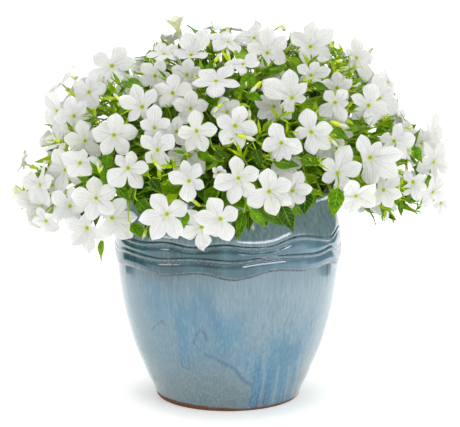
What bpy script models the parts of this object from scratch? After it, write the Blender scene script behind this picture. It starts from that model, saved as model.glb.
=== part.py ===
"""Potted browallia: a bushy, white-flowered browallia in a glazed stoneware patio pot.

Frame: origin at the centre of the pot's foot, on the ground; +Z up; the front faces -Y; metres.
The pot is a thrown stoneware vessel with three wavy ridges under its neck and a drain hole.
Potting mix fills it to below the rim. Twelve leafy shoots stand in the mix, each one grown
piece: a stem with side branches, leaves, calyxes and buds. Each corolla (a narrow tube that
opens in five lobes) is a piece of its own, because it drops off its calyx whole.
"""
import bpy
import math
import random
from mathutils import Vector
from mathutils.bvhtree import BVHTree

# ---------------------------------------------------------------- driving dimensions (m)
POT_HEIGHT = 0.213
FOOT_RADIUS = 0.0722
FOOT_INNER_RADIUS = 0.0600
FOOT_LIFT = 0.0030
FLOOR_TOP = 0.0150
DRAIN_RADIUS = 0.0110
SEGMENTS = 40
WAVES = 10                      # each wavy ridge swings ten times round the pot
GAP = 0.0003
SOIL_GAP = 0.0009
SOIL_EDGE = 0.1870
SOIL_CROWN = 0.1905
DOME_CENTRE = Vector((0.0, 0.0, 0.200))
DOME_SIDE = 0.215               # half width of the plant
DOME_UP = 0.175                 # from the dome's centre to its top
DOME_BACK = 0.213               # depth of the plant behind its middle
TUBE_LENGTH = 0.0130
TUBE_RADIUS = 0.0012
PETAL_HALF = 0.00045
STEM_RADIUS = 0.0024
BRANCH_RADIUS = 0.0010
CALYX_RADIUS = 0.0020
SEED = 11                        # the plant's growth: same seed, same plant

# Sheet elevation: the front is drawn 1:1 on a sheet 460 mm wide and 427 mm high, seen by
# someone standing 1.9 m in front with the eye 0.55 m up. X runs right from the sheet's left
# edge and Y down from its top edge. A flower is drawn by its eye, the lean of its face
# (to the right and up), how far it sits behind the dome (mm), and the tips of its lobes.
EYE = Vector((0.0, -1.9, 0.55))
AIM = Vector((0.002, 0.0, 0.184))
FRONT_FLOWERS = [
    (114, 135, 0.0, 0.0, 0, [(117, 113), (138, 131), (128, 154), (103, 155), (90, 128)]),
    (80, 163, 0.0, 0.3, 2, [(63, 155), (84, 149), (101, 163), (93, 175), (70, 178)]),
    (96, 198, 0.0, 0.0, 4, [(94, 176), (71, 198), (93, 221), (117, 190), (114, 215)]),
    (87, 228, 0.0, -0.3, 14, [(84, 213), (65, 221), (72, 246), (90, 253), (105, 241)]),
    (142, 107, 0.0, 0.0, 0, [(133, 84), (118, 99), (129, 122), (146, 118), (154, 88)]),
    (172.5, 93, 0.0, 0.1, 6, [(174, 73), (194, 88), (180, 107), (160, 106), (154, 86)]),
    (154.5, 128, 0.0, 0.0, 3, [(155, 104), (170, 119), (166, 137), (147, 137), (140, 122)]),
    (196.5, 131, 0.0, 0.0, 0, [(193.5, 110), (217.7, 128.6), (205, 152), (187.5, 152.5), (178, 136)]),
    (189, 181, 0.0, 0.0, 2, [(182, 159.5), (199.5, 163), (204.5, 187), (188, 202.5), (168, 173)]),
    (167, 214, 0.0, 0.0, 4, [(152, 194), (187, 204), (178, 239), (152, 240), (138, 219.5)]),
    (220.4, 219, 0.0, 0.0, 2, [(209, 197.5), (238, 210), (229, 241.5), (203, 233), (193.5, 219)]),
    (238.3, 178, 0.0, 0.0, 0, [(237, 155.5), (259, 170), (251, 200), (234, 205), (213.5, 187)]),
    (269, 191.5, 0.0, 0.0, 4, [(268, 168), (292, 182), (291, 206), (278, 215), (247, 204)]),
    (281.3, 143, 0.0, 0.0, 0, [(272, 123), (261.5, 147.5), (277.5, 164.5), (290, 160.5), (303, 153)]),
    (311, 132, 0.0, 0.0, 3, [(306, 108.5), (333, 128), (332, 150), (314.5, 155), (293.5, 133)]),
    (368.5, 105.5, 0.1, 0.0, 0, [(373, 83), (350, 97), (352, 119), (367, 128), (390, 112)]),
    (394, 141, 0.2, 0.1, 6, [(402, 123.5), (380, 137), (418, 137), (405, 160), (383, 158)]),
    (370, 157.7, 0.0, 0.0, 0, [(360, 134.5), (380, 141), (403, 161), (398, 176), (380, 184)]),
    (383.5, 190, 0.0, 0.0, 6, [(378, 173), (400, 177), (402, 197), (392, 208), (368, 204)]),
    (431, 135, 0.85, 0.1, 0, []),
    (433.5, 162, 0.75, 0.0, 0, []),
    (267.3, 53, 0.0, 0.2, 2, [(267, 27.5), (247.5, 43), (285.5, 36), (286, 62), (262, 69)]),
    (310.4, 46.7, 0.1, 0.1, 0, [(313.5, 20.5), (290.5, 33.5), (332, 31), (331, 58), (304, 66)]),
    (356.5, 58, 0.35, 0.1, 0, [(354.5, 37), (345, 50), (374, 57), (366, 82), (350, 72)]),
    (292, 97.8, 0.0, 0.0, 0, [(288, 68), (260.5, 79), (308, 84), (304, 98), (284, 114)]),
    (216, 81, 0.0, 0.75, 4, []),
    (235, 125.8, 0.0, 0.0, 4, [(243, 105), (258, 133), (239, 150.5), (224, 147), (216, 119)]),
    (112, 66, -0.1, 0.1, 0, [(94, 57), (127, 49), (139, 65), (127, 80), (92, 89)]),
    (57, 111, -0.75, -0.2, 0, []),
    (40, 185, -0.8, 0.0, 0, []),
]
# The sides, the back and the crown carry the rest: turn from the front (degrees), height
# angle above the dome's centre (degrees).
OTHER_FLOWERS = [(96, 16), (112, 42), (124, -2), (143, 22), (160, 48), (168, 2), (187, 26), (199, -6),
                 (212, 44), (226, 10), (244, 34), (254, -7), (266, 14), (182, 70)]
# Leaves that hang over the rim at the front: sheet place of the tip, and mm behind the dome.
HANGING_LEAVES = [(98, 262, 40), (116, 236, 34), (147, 240, 40), (237, 240, 52), (266, 230, 52), (292, 232, 50),
                  (334, 214, 44), (386, 222, 30)]


# ---------------------------------------------------------------- helpers
def clear_scene():
    for o in list(bpy.data.objects):
        bpy.data.objects.remove(o, do_unlink=True)


def material(name, colour, roughness):
    m = bpy.data.materials.new(name)
    m.use_nodes = True
    b = m.node_tree.nodes["Principled BSDF"]
    b.inputs["Base Color"].default_value = (*colour, 1.0)
    b.inputs["Roughness"].default_value = roughness
    b.inputs["Metallic"].default_value = 0.0
    return m


def mesh_object(name, verts, faces, mat, smooth_angle=40.0):
    me = bpy.data.meshes.new(name)
    me.from_pydata([tuple(v) for v in verts], [], faces)
    me.validate()
    me.materials.append(mat)
    me.shade_smooth()
    me.set_sharp_from_angle(angle=math.radians(smooth_angle))
    o = bpy.data.objects.new(name, me)
    bpy.context.scene.collection.objects.link(o)
    return o


def perpendicular(d):
    ref = Vector((0, 0, 1)) if abs(d.z) < 0.9 else Vector((1, 0, 0))
    a = d.cross(ref).normalized()
    return a, d.cross(a).normalized()


def bezier(p0, p1, p2, p3, t):
    s = 1.0 - t
    return p0 * (s ** 3) + p1 * (3 * s * s * t) + p2 * (3 * s * t * t) + p3 * (t ** 3)


def loft(points, radii, sides, turn=0.0):
    """A closed tube along points, one radius (or a width and height pair) at each."""
    verts, faces = [], []
    n = len(points)
    side = None
    for i, p in enumerate(points):
        d = (points[min(i + 1, n - 1)] - points[max(i - 1, 0)]).normalized()
        if side is None:
            side, _ = perpendicular(d)
        side = (side - d * side.dot(d)).normalized()
        up = d.cross(side).normalized()
        for k in range(sides):
            a = turn + 2 * math.pi * k / sides
            verts.append(p + side * (math.cos(a) * radii[i]) + up * (math.sin(a) * radii[i]))
    for i in range(n - 1):
        for k in range(sides):
            a, b = i * sides + k, i * sides + (k + 1) % sides
            faces.append((a, b, b + sides, a + sides))
    faces.append(tuple(reversed(range(sides))))
    faces.append(tuple((n - 1) * sides + k for k in range(sides)))
    return verts, faces


def tree(verts, faces):
    return BVHTree.FromPolygons([tuple(v) for v in verts], faces, epsilon=0.0)


# ---------------------------------------------------------------- pot
def ridge_heights(theta):
    """Heights of the three wavy ridges A, B and C at a turn theta from the front."""
    w = math.cos(WAVES * theta - math.radians(20.0))
    return 0.1715 + 0.0045 * w, 0.1560 - 0.0020 * w, 0.1425 - 0.0035 * w


def pot_rings(theta):
    za, zb, zc = ridge_heights(theta)
    outer = [
        (FOOT_RADIUS, 0.0), (0.0763, 0.011), (0.0818, 0.0215), (0.0858, 0.032), (0.0947, 0.053),
        (0.1011, 0.074), (0.1059, 0.0946), (0.1092, 0.115), (0.1112, 0.129),
        (0.1122, zc - 0.0020), (0.1116, zc + 0.0010),
        (0.1146, (zb + zc) / 2), (0.1122, zb + 0.0004),
        (0.1144, (za + zb) / 2), (0.1110, za + 0.0002),
        (0.1132, za + 0.0050), (0.1090, 0.190), (0.1046, 0.2035),
        (0.1040, 0.2062), (0.1054, 0.2085), (0.1046, 0.2118), (0.1010, POT_HEIGHT),
    ]
    inner = [
        (0.0966, 0.2122), (0.0946, 0.2080), (0.0958, 0.1950), (0.1030, 0.1770), (0.1044, 0.1500),
        (0.1000, 0.1150), (0.0918, 0.0740), (0.0770, 0.0320), (0.0705, 0.0185), (0.0660, FLOOR_TOP),
        (DRAIN_RADIUS, FLOOR_TOP), (DRAIN_RADIUS, FOOT_LIFT), (FOOT_INNER_RADIUS - 0.002, FOOT_LIFT),
        (FOOT_INNER_RADIUS, 0.0),
    ]
    return outer + inner


def build_pot(mat):
    verts, faces = [], []
    rings = len(pot_rings(0.0))
    for s in range(SEGMENTS):
        th = 2 * math.pi * s / SEGMENTS
        for r, z in pot_rings(th):
            verts.append(Vector((r * math.sin(th), -r * math.cos(th), z)))
    for s in range(SEGMENTS):
        t = (s + 1) % SEGMENTS
        for i in range(rings):
            j = (i + 1) % rings
            faces.append((s * rings + i, t * rings + i, t * rings + j, s * rings + j))
    return mesh_object("pot", verts, faces, mat, 50.0)


def soil_top(r):
    return SOIL_EDGE + (SOIL_CROWN - SOIL_EDGE) * (1 - (r / 0.0960) ** 2)


def build_soil(mat):
    g = SOIL_GAP
    prof = [
        (0.0655, FLOOR_TOP + g), (0.0694, 0.0189), (0.0770 - g, 0.0320), (0.0918 - g, 0.0740),
        (0.1000 - g, 0.1150), (0.1044 - g, 0.1500), (0.1030 - g, 0.1770), (0.0978, SOIL_EDGE),
        (0.0720, soil_top(0.072)), (0.0400, soil_top(0.040)),
    ]
    verts, faces = [], []
    for s in range(SEGMENTS):
        th = 2 * math.pi * s / SEGMENTS
        for r, z in prof:
            verts.append(Vector((r * math.sin(th), -r * math.cos(th), z)))
    n = len(prof)
    for s in range(SEGMENTS):
        t = (s + 1) % SEGMENTS
        for i in range(n - 1):
            faces.append((s * n + i, t * n + i, t * n + i + 1, s * n + i + 1))
    faces.append(tuple(s * n for s in reversed(range(SEGMENTS))))
    top = len(verts)
    verts.append(Vector((0, 0, soil_top(0.0))))
    for s in range(SEGMENTS):
        t = (s + 1) % SEGMENTS
        faces.append((s * n + n - 1, t * n + n - 1, top))
    return mesh_object("potting_soil", verts, faces, mat, 50.0)


# ---------------------------------------------------------------- the sheet and the dome
FORWARD = (AIM - EYE).normalized()
RIGHT = FORWARD.cross(Vector((0, 0, 1))).normalized()
UPWARD = RIGHT.cross(FORWARD).normalized()


def sight(x, y):
    return (FORWARD * (AIM - EYE).length + RIGHT * ((x - 230.0) / 1000) + UPWARD * ((213.5 - y) / 1000)).normalized()


def dome_point(x, y, back):
    """Where the sight line through the sheet at x, y meets the plant's dome, then back mm on."""
    d = sight(x, y)
    k = Vector((1 / DOME_SIDE, 1 / DOME_SIDE, 1 / DOME_UP))
    o = Vector([(EYE - DOME_CENTRE)[i] * k[i] for i in range(3)])
    q = Vector([d[i] * k[i] for i in range(3)])
    a, b, c = q.dot(q), o.dot(q), o.dot(o) - 1.0
    disc = b * b - a * c
    t = (-b - math.sqrt(disc)) / a if disc > 0 else -b / a
    return EYE + d * (t + back / 1000)


def face_on(nx, ny):
    nz = math.sqrt(max(0.0, 1 - nx * nx - ny * ny))
    return (RIGHT * nx + UPWARD * ny - FORWARD * nz).normalized()


def to_plane(p, n, x, y):
    """The sheet point x, y carried along its sight line to the plane through p."""
    d = sight(x, y)
    return EYE + d * ((p - EYE).dot(n) / d.dot(n)) - p


def lobes_of(p, n, tips, radius, roll):
    """Five (angle, length) pairs in the flower's own plane, in turning order."""
    e1, e2 = perpendicular(n)
    if len(tips) == 5:
        out = []
        for x, y in tips:
            v = to_plane(p, n, x, y)
            out.append((math.atan2(v.dot(e2), v.dot(e1)) % (2 * math.pi), min(0.031, max(0.013, v.length))))
        out.sort()
        # neighbouring lobes keep at least 46 degrees between them
        for _ in range(40):
            for i in range(5):
                j = (i + 1) % 5
                gap = (out[j][0] - out[i][0]) % (2 * math.pi)
                if gap < math.radians(46):
                    push = (math.radians(46) - gap) / 2
                    out[i] = (out[i][0] - push, out[i][1])
                    out[j] = (out[j][0] + push, out[j][1])
        return out
    return [(roll + 2 * math.pi * i / 5, radius) for i in range(5)]


def corolla(p, n, lobes, grow=0.0):
    """Verts and faces of one corolla: a tube that opens in five lobes, one closed body."""
    e1, e2 = perpendicular(n)

    def at(a, r, z):
        return p + e1 * (math.cos(a) * r) + e2 * (math.sin(a) * r) + n * z

    h = PETAL_HALF + grow
    outline, mid, eye, throat, tube = [], [], [], [], []
    for k in range(5):
        a, r = lobes[k]
        a0, r0 = lobes[k - 1]
        a1, r1 = lobes[(k + 1) % 5]
        gap0 = (a - a0) % (2 * math.pi)
        gap1 = (a1 - a) % (2 * math.pi)
        s = a - gap0 / 2
        rs = 0.42 * min(r, r0) + grow
        outline += [at(s, rs, 0), at(a - min(0.36 * gap0, 0.48), 0.80 * r + grow, 0.0005),
                    at(a, r + grow, -0.0006), at(a + min(0.36 * gap1, 0.48), 0.80 * r + grow, 0.0005)]
        mid += [at(s, 0.57 * rs, h * 0.8), at(a, 0.52 * r, h + 0.0004)]
        eye.append(at(a, 0.0020 + grow, h * 0.6))
        throat.append(at(a, 0.0019 + grow, -0.0030))
        tube.append(at(a, TUBE_RADIUS + grow, -TUBE_LENGTH))
    verts = outline + mid + eye + throat + tube
    O, M = list(range(20)), list(range(20, 30))
    E, H, U = list(range(30, 35)), list(range(35, 40)), list(range(40, 45))
    faces = []
    for k in range(5):
        l = (k + 1) % 5
        m0, m1, m2 = M[2 * k], M[2 * k + 1], M[2 * l]
        o0, o1, o2, o3, o4 = O[4 * k], O[4 * k + 1], O[4 * k + 2], O[4 * k + 3], O[(4 * k + 4) % 20]
        faces += [(m0, o0, o1), (m0, o1, m1), (m1, o1, o2), (m1, o2, o3), (m1, o3, m2), (m2, o3, o4),
                  (E[k], m0, m1), (E[k], m1, m2), (E[k], m2, E[l])]
        faces += [(H[k], o1, o0), (H[k], o2, o1), (H[k], o3, o2), (H[k], o4, o3), (H[k], H[l], o4)]
        faces.append((H[k], U[k], U[l], H[l]))
    faces.append(tuple(E))
    faces.append(tuple(reversed(U)))
    return verts, faces


# ---------------------------------------------------------------- shoots
class Shoot:
    def __init__(self, index, turn, lift, foot_radius, reach):
        self.name = "shoot_%02d" % (index + 1)
        out = Vector((math.sin(turn), -math.cos(turn), 0))
        foot = out * foot_radius
        foot.z = soil_top(foot_radius) + GAP + 0.0004
        hub = DOME_CENTRE + out * (reach * math.cos(lift)) + Vector((0, 0, 1)) * (0.035 + reach * math.sin(lift))
        rise = foot + Vector((0, 0, 0.045)) + out * 0.006
        bend = hub - (out * math.cos(lift) + Vector((0, 0, 1)) * (math.sin(lift) + 0.25)) * 0.03
        self.curve = (foot, rise, bend, hub)
        pts = [bezier(*self.curve, t / 6) for t in range(7)]
        self.parts = [loft(pts, [STEM_RADIUS * (1 - 0.06 * i) for i in range(7)], 6, 0.2)]
        self.out, self.hub = out, hub
        self.branches = []

    def at(self, t):
        return bezier(*self.curve, t)


def make_shoots():
    shoots = []
    for i in range(9):
        turn = math.radians(40 * i)
        shoots.append(Shoot(i, turn, math.radians(18), 0.044, 0.100))
    for i in range(3):
        turn = math.radians(60 + 120 * i)
        shoots.append(Shoot(9 + i, turn, math.radians(62), 0.018, 0.100))
    return shoots


class Space:
    """What already stands where, so that nothing new is put through it."""

    def __init__(self):
        self.items = []

    def add(self, owner, verts, faces):
        lo = Vector([min(v[i] for v in verts) for i in range(3)])
        hi = Vector([max(v[i] for v in verts) for i in range(3)])
        self.items.append((owner, tree(verts, faces), lo, hi))

    def clear(self, owner, verts, faces, also=()):
        lo = Vector([min(v[i] for v in verts) for i in range(3)])
        hi = Vector([max(v[i] for v in verts) for i in range(3)])
        mine = None
        for who, other, l, h in self.items:
            if who == owner or who in also:
                continue
            if any(lo[i] > h[i] or hi[i] < l[i] for i in range(3)):
                continue
            if mine is None:
                mine = tree(verts, faces)
            if mine.overlap(other):
                return False
        return True


def branch_points(start, aim, toward, sag):
    """A side branch: leaves the stem, arches and meets the calyx along the flower's axis."""
    span = (aim - start).length
    p1 = start + Vector((0, 0, 1)) * (span * 0.25) + (aim - start) * 0.15 + sag
    p2 = aim + toward * min(0.030, span * 0.40)
    return [bezier(start, p1, p2, aim, i / 4) for i in range(5)]


def grow_branch(shoot, space, aim, axis, flower, rng):
    """Loft with a calyx at its end whose mouth stands GAP off the corolla's tube."""
    end = aim
    for attempt in range(34):
        t = [0.80, 0.95, 0.65, 0.5, 0.9, 0.72, 0.58, 1.0][attempt % 8] if attempt < 24 else rng.uniform(0.45, 1.0)
        t = min(t + rng.uniform(-0.02, 0.02), 0.95)
        start = shoot.at(t)
        sag = Vector((0, 0, 0)) if attempt < 8 else Vector((rng.uniform(-1, 1), rng.uniform(-1, 1), rng.uniform(-0.6, 1))) * 0.03
        neck = end - axis * 0.0055
        pts = branch_points(start, neck, -axis, sag)
        pts = pts + [end - axis * 0.0030, end]
        rad = [BRANCH_RADIUS * 0.95] + [BRANCH_RADIUS] * 4 + [CALYX_RADIUS, CALYX_RADIUS * 0.85]
        fat = loft(pts, [r + 0.0005 for r in rad[:-1]] + [rad[-1]], 4)
        if space.clear(shoot.name, *fat, also=(flower,)) and above_rim(pts):
            part = loft(pts, rad, 4)
            shoot.parts.append(part)
            space.add(shoot.name, *fat)
            shoot.branches.append(pts)
            return True
    return False


def above_rim(pts):
    """True where the curve keeps out of the pot wall and the mix."""
    fine = []
    for a, b in zip(pts[:-1], pts[1:]):
        fine += [a.lerp(b, i / 6) for i in range(6)]
    for p in fine:
        r = math.hypot(p.x, p.y)
        if 0.086 < r < 0.120 and p.z < 0.2175:
            return False
        if r <= 0.086 and p.z < 0.1945:
            return False
    return True


def leaf(base, d, n, length, width, droop=0.15):
    """A petiole and an ovate blade as one diamond loft that narrows to a point."""
    side = d.cross(n).normalized()
    n = side.cross(d).normalized()
    stations = [(0.0, 0.00045, 0.00045), (0.38, width / 2, 0.0006), (0.66, width * 0.40, 0.0005)]
    verts, faces = [], []
    for s, w, h in stations:
        c = base + d * (length * s) - n * (droop * length * s * s)
        verts += [c - side * w, c + n * h, c + side * w, c - n * h]
    tip = base + d * length - n * (droop * length)
    verts.append(tip)
    last = 4 * (len(stations) - 1)
    for i in range(len(stations) - 1):
        for k in range(4):
            a, b = i * 4 + k, i * 4 + (k + 1) % 4
            faces.append((a, b, b + 4, a + 4))
    for k in range(4):
        faces.append((last + k, last + (k + 1) % 4, last + 4))
    faces.append((3, 2, 1, 0))
    return verts, faces


def try_leaf(shoot, space, base, d, n, length):
    verts, faces = leaf(base, d, n, length, length * 0.46)
    count = len(verts)
    test = [v + n * 0.0006 for v in verts] + [v - n * 0.0006 for v in verts]
    both = faces + [tuple(k + count for k in f) for f in faces]
    if space.clear(shoot.name, test, both) and above_rim([base, verts[-1]]) and inside_dome(verts):
        shoot.parts.append((verts, faces))
        space.add(shoot.name, test, both)
        return True
    return False


def leaf_at(shoot, space, base, along, rng):
    a, b = perpendicular(along)
    outward = (base - DOME_CENTRE).normalized()
    for attempt in range(10):
        g = rng.uniform(0, 2 * math.pi)
        d = (a * math.cos(g) + b * math.sin(g) + outward * 0.9 + along * 0.3).normalized()
        n = (outward - d * outward.dot(d) + Vector((0, 0, 0.3))).normalized()
        if try_leaf(shoot, space, base, d, n, rng.uniform(0.028, 0.042)):
            return 1
    return 0


def grow_twig(shoot, space, aim, rng, leaf_tip=None):
    """A flowerless side twig that ends in a bud, or in a leaf that hangs to leaf_tip."""
    for attempt in range(30):
        t = rng.uniform(0.45, 0.95)
        start = shoot.at(t)
        sag = Vector((rng.uniform(-1, 1), rng.uniform(-1, 1), rng.uniform(-0.3, 1))) * (0.02 if attempt else 0.0)
        inward = (start - aim).normalized() + Vector((0, 0, 0.5))
        pts = branch_points(start, aim, inward.normalized(), sag)
        rad = [BRANCH_RADIUS * 0.95] + [BRANCH_RADIUS] * 3 + [BRANCH_RADIUS * 0.8]
        if leaf_tip is None:
            d = (pts[-1] - pts[-2]).normalized()
            pts = pts + [pts[-1] + d * 0.006, pts[-1] + d * 0.014]
            rad = rad + [0.0022, 0.0007]
        fat = loft(pts, [r + 0.0005 for r in rad], 4)
        if not (space.clear(shoot.name, *fat) and above_rim(pts) and inside_dome(pts)):
            continue
        if leaf_tip is not None:
            d = (leaf_tip - pts[-1])
            base = pts[-1] - (pts[-1] - pts[-2]).normalized() * 0.001
            out = Vector((pts[-1].x, pts[-1].y, 0)).normalized()
            n = (out - d.normalized() * out.dot(d.normalized())).normalized()
            if not try_leaf(shoot, space, base, d.normalized(), n, d.length):
                continue
        shoot.parts.append(loft(pts, rad, 4))
        space.add(shoot.name, *fat)
        shoot.branches.append(pts)
        return True
    return False


def grow_leaves(shoot, space, rng):
    count = 0
    for t in (0.62, 0.78, 0.93):
        along = (shoot.at(t + 0.02) - shoot.at(t - 0.02)).normalized()
        count += leaf_at(shoot, space, shoot.at(t), along, rng)
    crowded = len(shoot.branches) > 6
    for rank, pts in enumerate(shoot.branches):
        if crowded and rank % 3 == 2:
            continue
        for share in ((0.62,) if crowded else (0.45, 0.80)):
            i = int(share * 4)
            base = pts[i].lerp(pts[i + 1], share * 4 - i)
            count += leaf_at(shoot, space, base, (pts[i + 1] - pts[i]).normalized(), rng)
    return count


def inside_dome(verts):
    for v in verts:
        q = v - DOME_CENTRE
        if (q.x / 0.219) ** 2 + (q.y / 0.219) ** 2 + (q.z / 0.180) ** 2 > 1.0:
            return False
    return True


def join_parts(parts):
    verts, faces = [], []
    for v, f in parts:
        base = len(verts)
        verts += v
        faces += [tuple(i + base for i in t) for t in f]
    return verts, faces


def build_shoot(shoot, mat):
    """The stem, with everything that grows on it united into one body."""
    stem = mesh_object(shoot.name, *shoot.parts[0], mat, 60.0)
    grown = mesh_object(shoot.name + "_growth", *join_parts(shoot.parts[1:]), mat, 60.0)
    grown.hide_render = True
    grown.display_type = 'WIRE'
    u = stem.modifiers.new("grow_together", 'BOOLEAN')
    u.operation = 'UNION'
    u.solver = 'EXACT'
    u.use_self = True
    u.object = grown
    return stem


def main():
    clear_scene()
    glaze = material("glazed_stoneware", (0.36, 0.42, 0.47), 0.22)
    mix = material("potting_mix", (0.055, 0.038, 0.026), 0.95)
    green = material("foliage", (0.075, 0.14, 0.04), 0.55)
    white = material("petal", (0.86, 0.87, 0.90), 0.60)

    build_pot(glaze)
    build_soil(mix)

    rng = random.Random(SEED)
    space = Space()
    shoots = make_shoots()
    for s in shoots:
        pts = [s.at(t / 6) for t in range(7)]
        space.add(s.name, *loft(pts, [STEM_RADIUS + 0.0006] * 7, 6, 0.2))

    flowers = []
    wanted = []
    for x, y, nx, ny, back, tips in FRONT_FLOWERS:
        wanted.append((x, y, nx, ny, back, tips, None))
    for turn, height in OTHER_FLOWERS:
        wanted.append((0, 0, 0, 0, 0, [], (math.radians(turn), math.radians(height))))
    for x, y, nx, ny, back, tips, ring in wanted:
        name = "flower_%02d" % (len(flowers) + 1)
        for more in range(0, 40, 3):
            if ring:
                t, e = ring
                n0 = Vector((math.sin(t) * math.cos(e), -math.cos(t) * math.cos(e), math.sin(e)))
                depth = DOME_SIDE if n0.y < 0 else DOME_BACK
                p = DOME_CENTRE + Vector((n0.x * DOME_SIDE, n0.y * depth, n0.z * DOME_UP)) - n0 * (more / 1000 + 0.002)
                n = (n0 + Vector((0, 0, 0.15))).normalized()
            else:
                p = dome_point(x, y, back + more)
                n = face_on(nx, ny)
                outward = (p - DOME_CENTRE).normalized()
                if tips:
                    n = (n + outward * 0.25).normalized()
            lobes = lobes_of(p, n, tips, 0.0235, rng.uniform(0, 1.2) if more == 0 else 0.5)
            fat = corolla(p, n, lobes, 0.0005)
            if space.clear(name, *fat):
                space.add(name, *fat)
                flowers.append((name, p, n, lobes))
                break

    placed = []
    for name, p, n, lobes in flowers:
        aim = p - n * (TUBE_LENGTH + GAP)
        order = sorted(shoots, key=lambda s: (s.hub - p).length)
        for s in order[:6]:
            if grow_branch(s, space, aim, n, name, rng):
                placed.append((name, p, n, lobes))
                break
    print("flowers placed", len(flowers), "with branches", len(placed))
    hung = 0
    for x, y, back in HANGING_LEAVES:
        tip = dome_point(x, y, back)
        top = tip + Vector((0, 0, 0.024)) - Vector((tip.x, tip.y, 0)).normalized() * 0.006
        order = sorted(shoots, key=lambda s: (s.hub - top).length)
        hung += any(grow_twig(s, space, top, rng, tip) for s in order[:3])
    twigs = 0
    for s in shoots:
        turn = math.atan2(s.out.x, -s.out.y)
        while len(s.branches) < 4:
            ok = False
            for attempt in range(12):
                t = turn + math.radians(rng.uniform(-26, 26))
                e = math.radians(rng.uniform(-12, 38) if s.hub.z < 0.3 else rng.uniform(40, 80))
                d = Vector((math.sin(t) * math.cos(e), -math.cos(t) * math.cos(e), math.sin(e)))
                deep = DOME_SIDE if d.y < 0 else DOME_BACK
                aim = DOME_CENTRE + Vector((d.x * DOME_SIDE, d.y * deep, d.z * DOME_UP)) * rng.uniform(0.80, 0.90)
                if grow_twig(s, space, aim, rng):
                    ok = True
                    twigs += 1
                    break
            if not ok:
                break
    print("hanging leaves", hung, "twigs", twigs)
    leaves = sum(grow_leaves(s, space, rng) for s in shoots)
    print("leaves", leaves)

    for s in shoots:
        build_shoot(s, green)
    for i, (name, p, n, lobes) in enumerate(placed):
        mesh_object("flower_%02d" % (i + 1), *corolla(p, n, lobes), white, 60.0)


main()
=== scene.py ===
"""Looks of the potted browallia: a white-flowered browallia in a blue-grey glazed stoneware pot."""
import math
import random

import bpy
import numpy as np
from mathutils import Matrix, Vector, noise
from mathutils.bvhtree import BVHTree


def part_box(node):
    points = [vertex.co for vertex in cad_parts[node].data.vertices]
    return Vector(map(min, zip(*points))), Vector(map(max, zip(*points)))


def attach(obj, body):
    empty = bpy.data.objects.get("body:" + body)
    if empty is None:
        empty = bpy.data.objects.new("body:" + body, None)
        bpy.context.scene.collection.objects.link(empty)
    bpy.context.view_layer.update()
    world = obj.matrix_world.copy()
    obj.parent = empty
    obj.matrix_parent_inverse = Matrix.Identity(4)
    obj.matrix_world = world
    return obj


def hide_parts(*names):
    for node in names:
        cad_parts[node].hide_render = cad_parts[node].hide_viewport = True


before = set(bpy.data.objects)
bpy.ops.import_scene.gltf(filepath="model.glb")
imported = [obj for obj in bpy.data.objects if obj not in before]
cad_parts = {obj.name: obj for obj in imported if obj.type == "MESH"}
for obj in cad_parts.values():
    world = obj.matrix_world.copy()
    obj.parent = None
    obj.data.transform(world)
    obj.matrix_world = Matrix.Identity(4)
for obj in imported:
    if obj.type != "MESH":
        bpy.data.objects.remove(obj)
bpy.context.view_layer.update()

# =====================================================================================
# 1. The plant's skeleton, by the rules of the CAD. All lengths in metres.
# =====================================================================================
POT_HEIGHT = 0.213
FOOT_RADIUS = 0.0722
FOOT_INNER_RADIUS = 0.0600
FOOT_LIFT = 0.0030
FLOOR_TOP = 0.0150
DRAIN_RADIUS = 0.0110
SEGMENTS = 40
WAVES = 10                      # each wavy ridge swings ten times round the pot
GAP = 0.0003
SOIL_GAP = 0.0009
SOIL_EDGE = 0.1870
SOIL_CROWN = 0.1905
DOME_CENTRE = Vector((0.0, 0.0, 0.200))
DOME_SIDE = 0.215               # half width of the plant
DOME_UP = 0.175                 # from the dome's centre to its top
DOME_BACK = 0.213               # depth of the plant behind its middle
TUBE_LENGTH = 0.0130
TUBE_RADIUS = 0.0012
PETAL_HALF = 0.00045
STEM_RADIUS = 0.0024
BRANCH_RADIUS = 0.0010
CALYX_RADIUS = 0.0020
SEED = 11                        # the plant's growth: same seed, same plant

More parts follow.
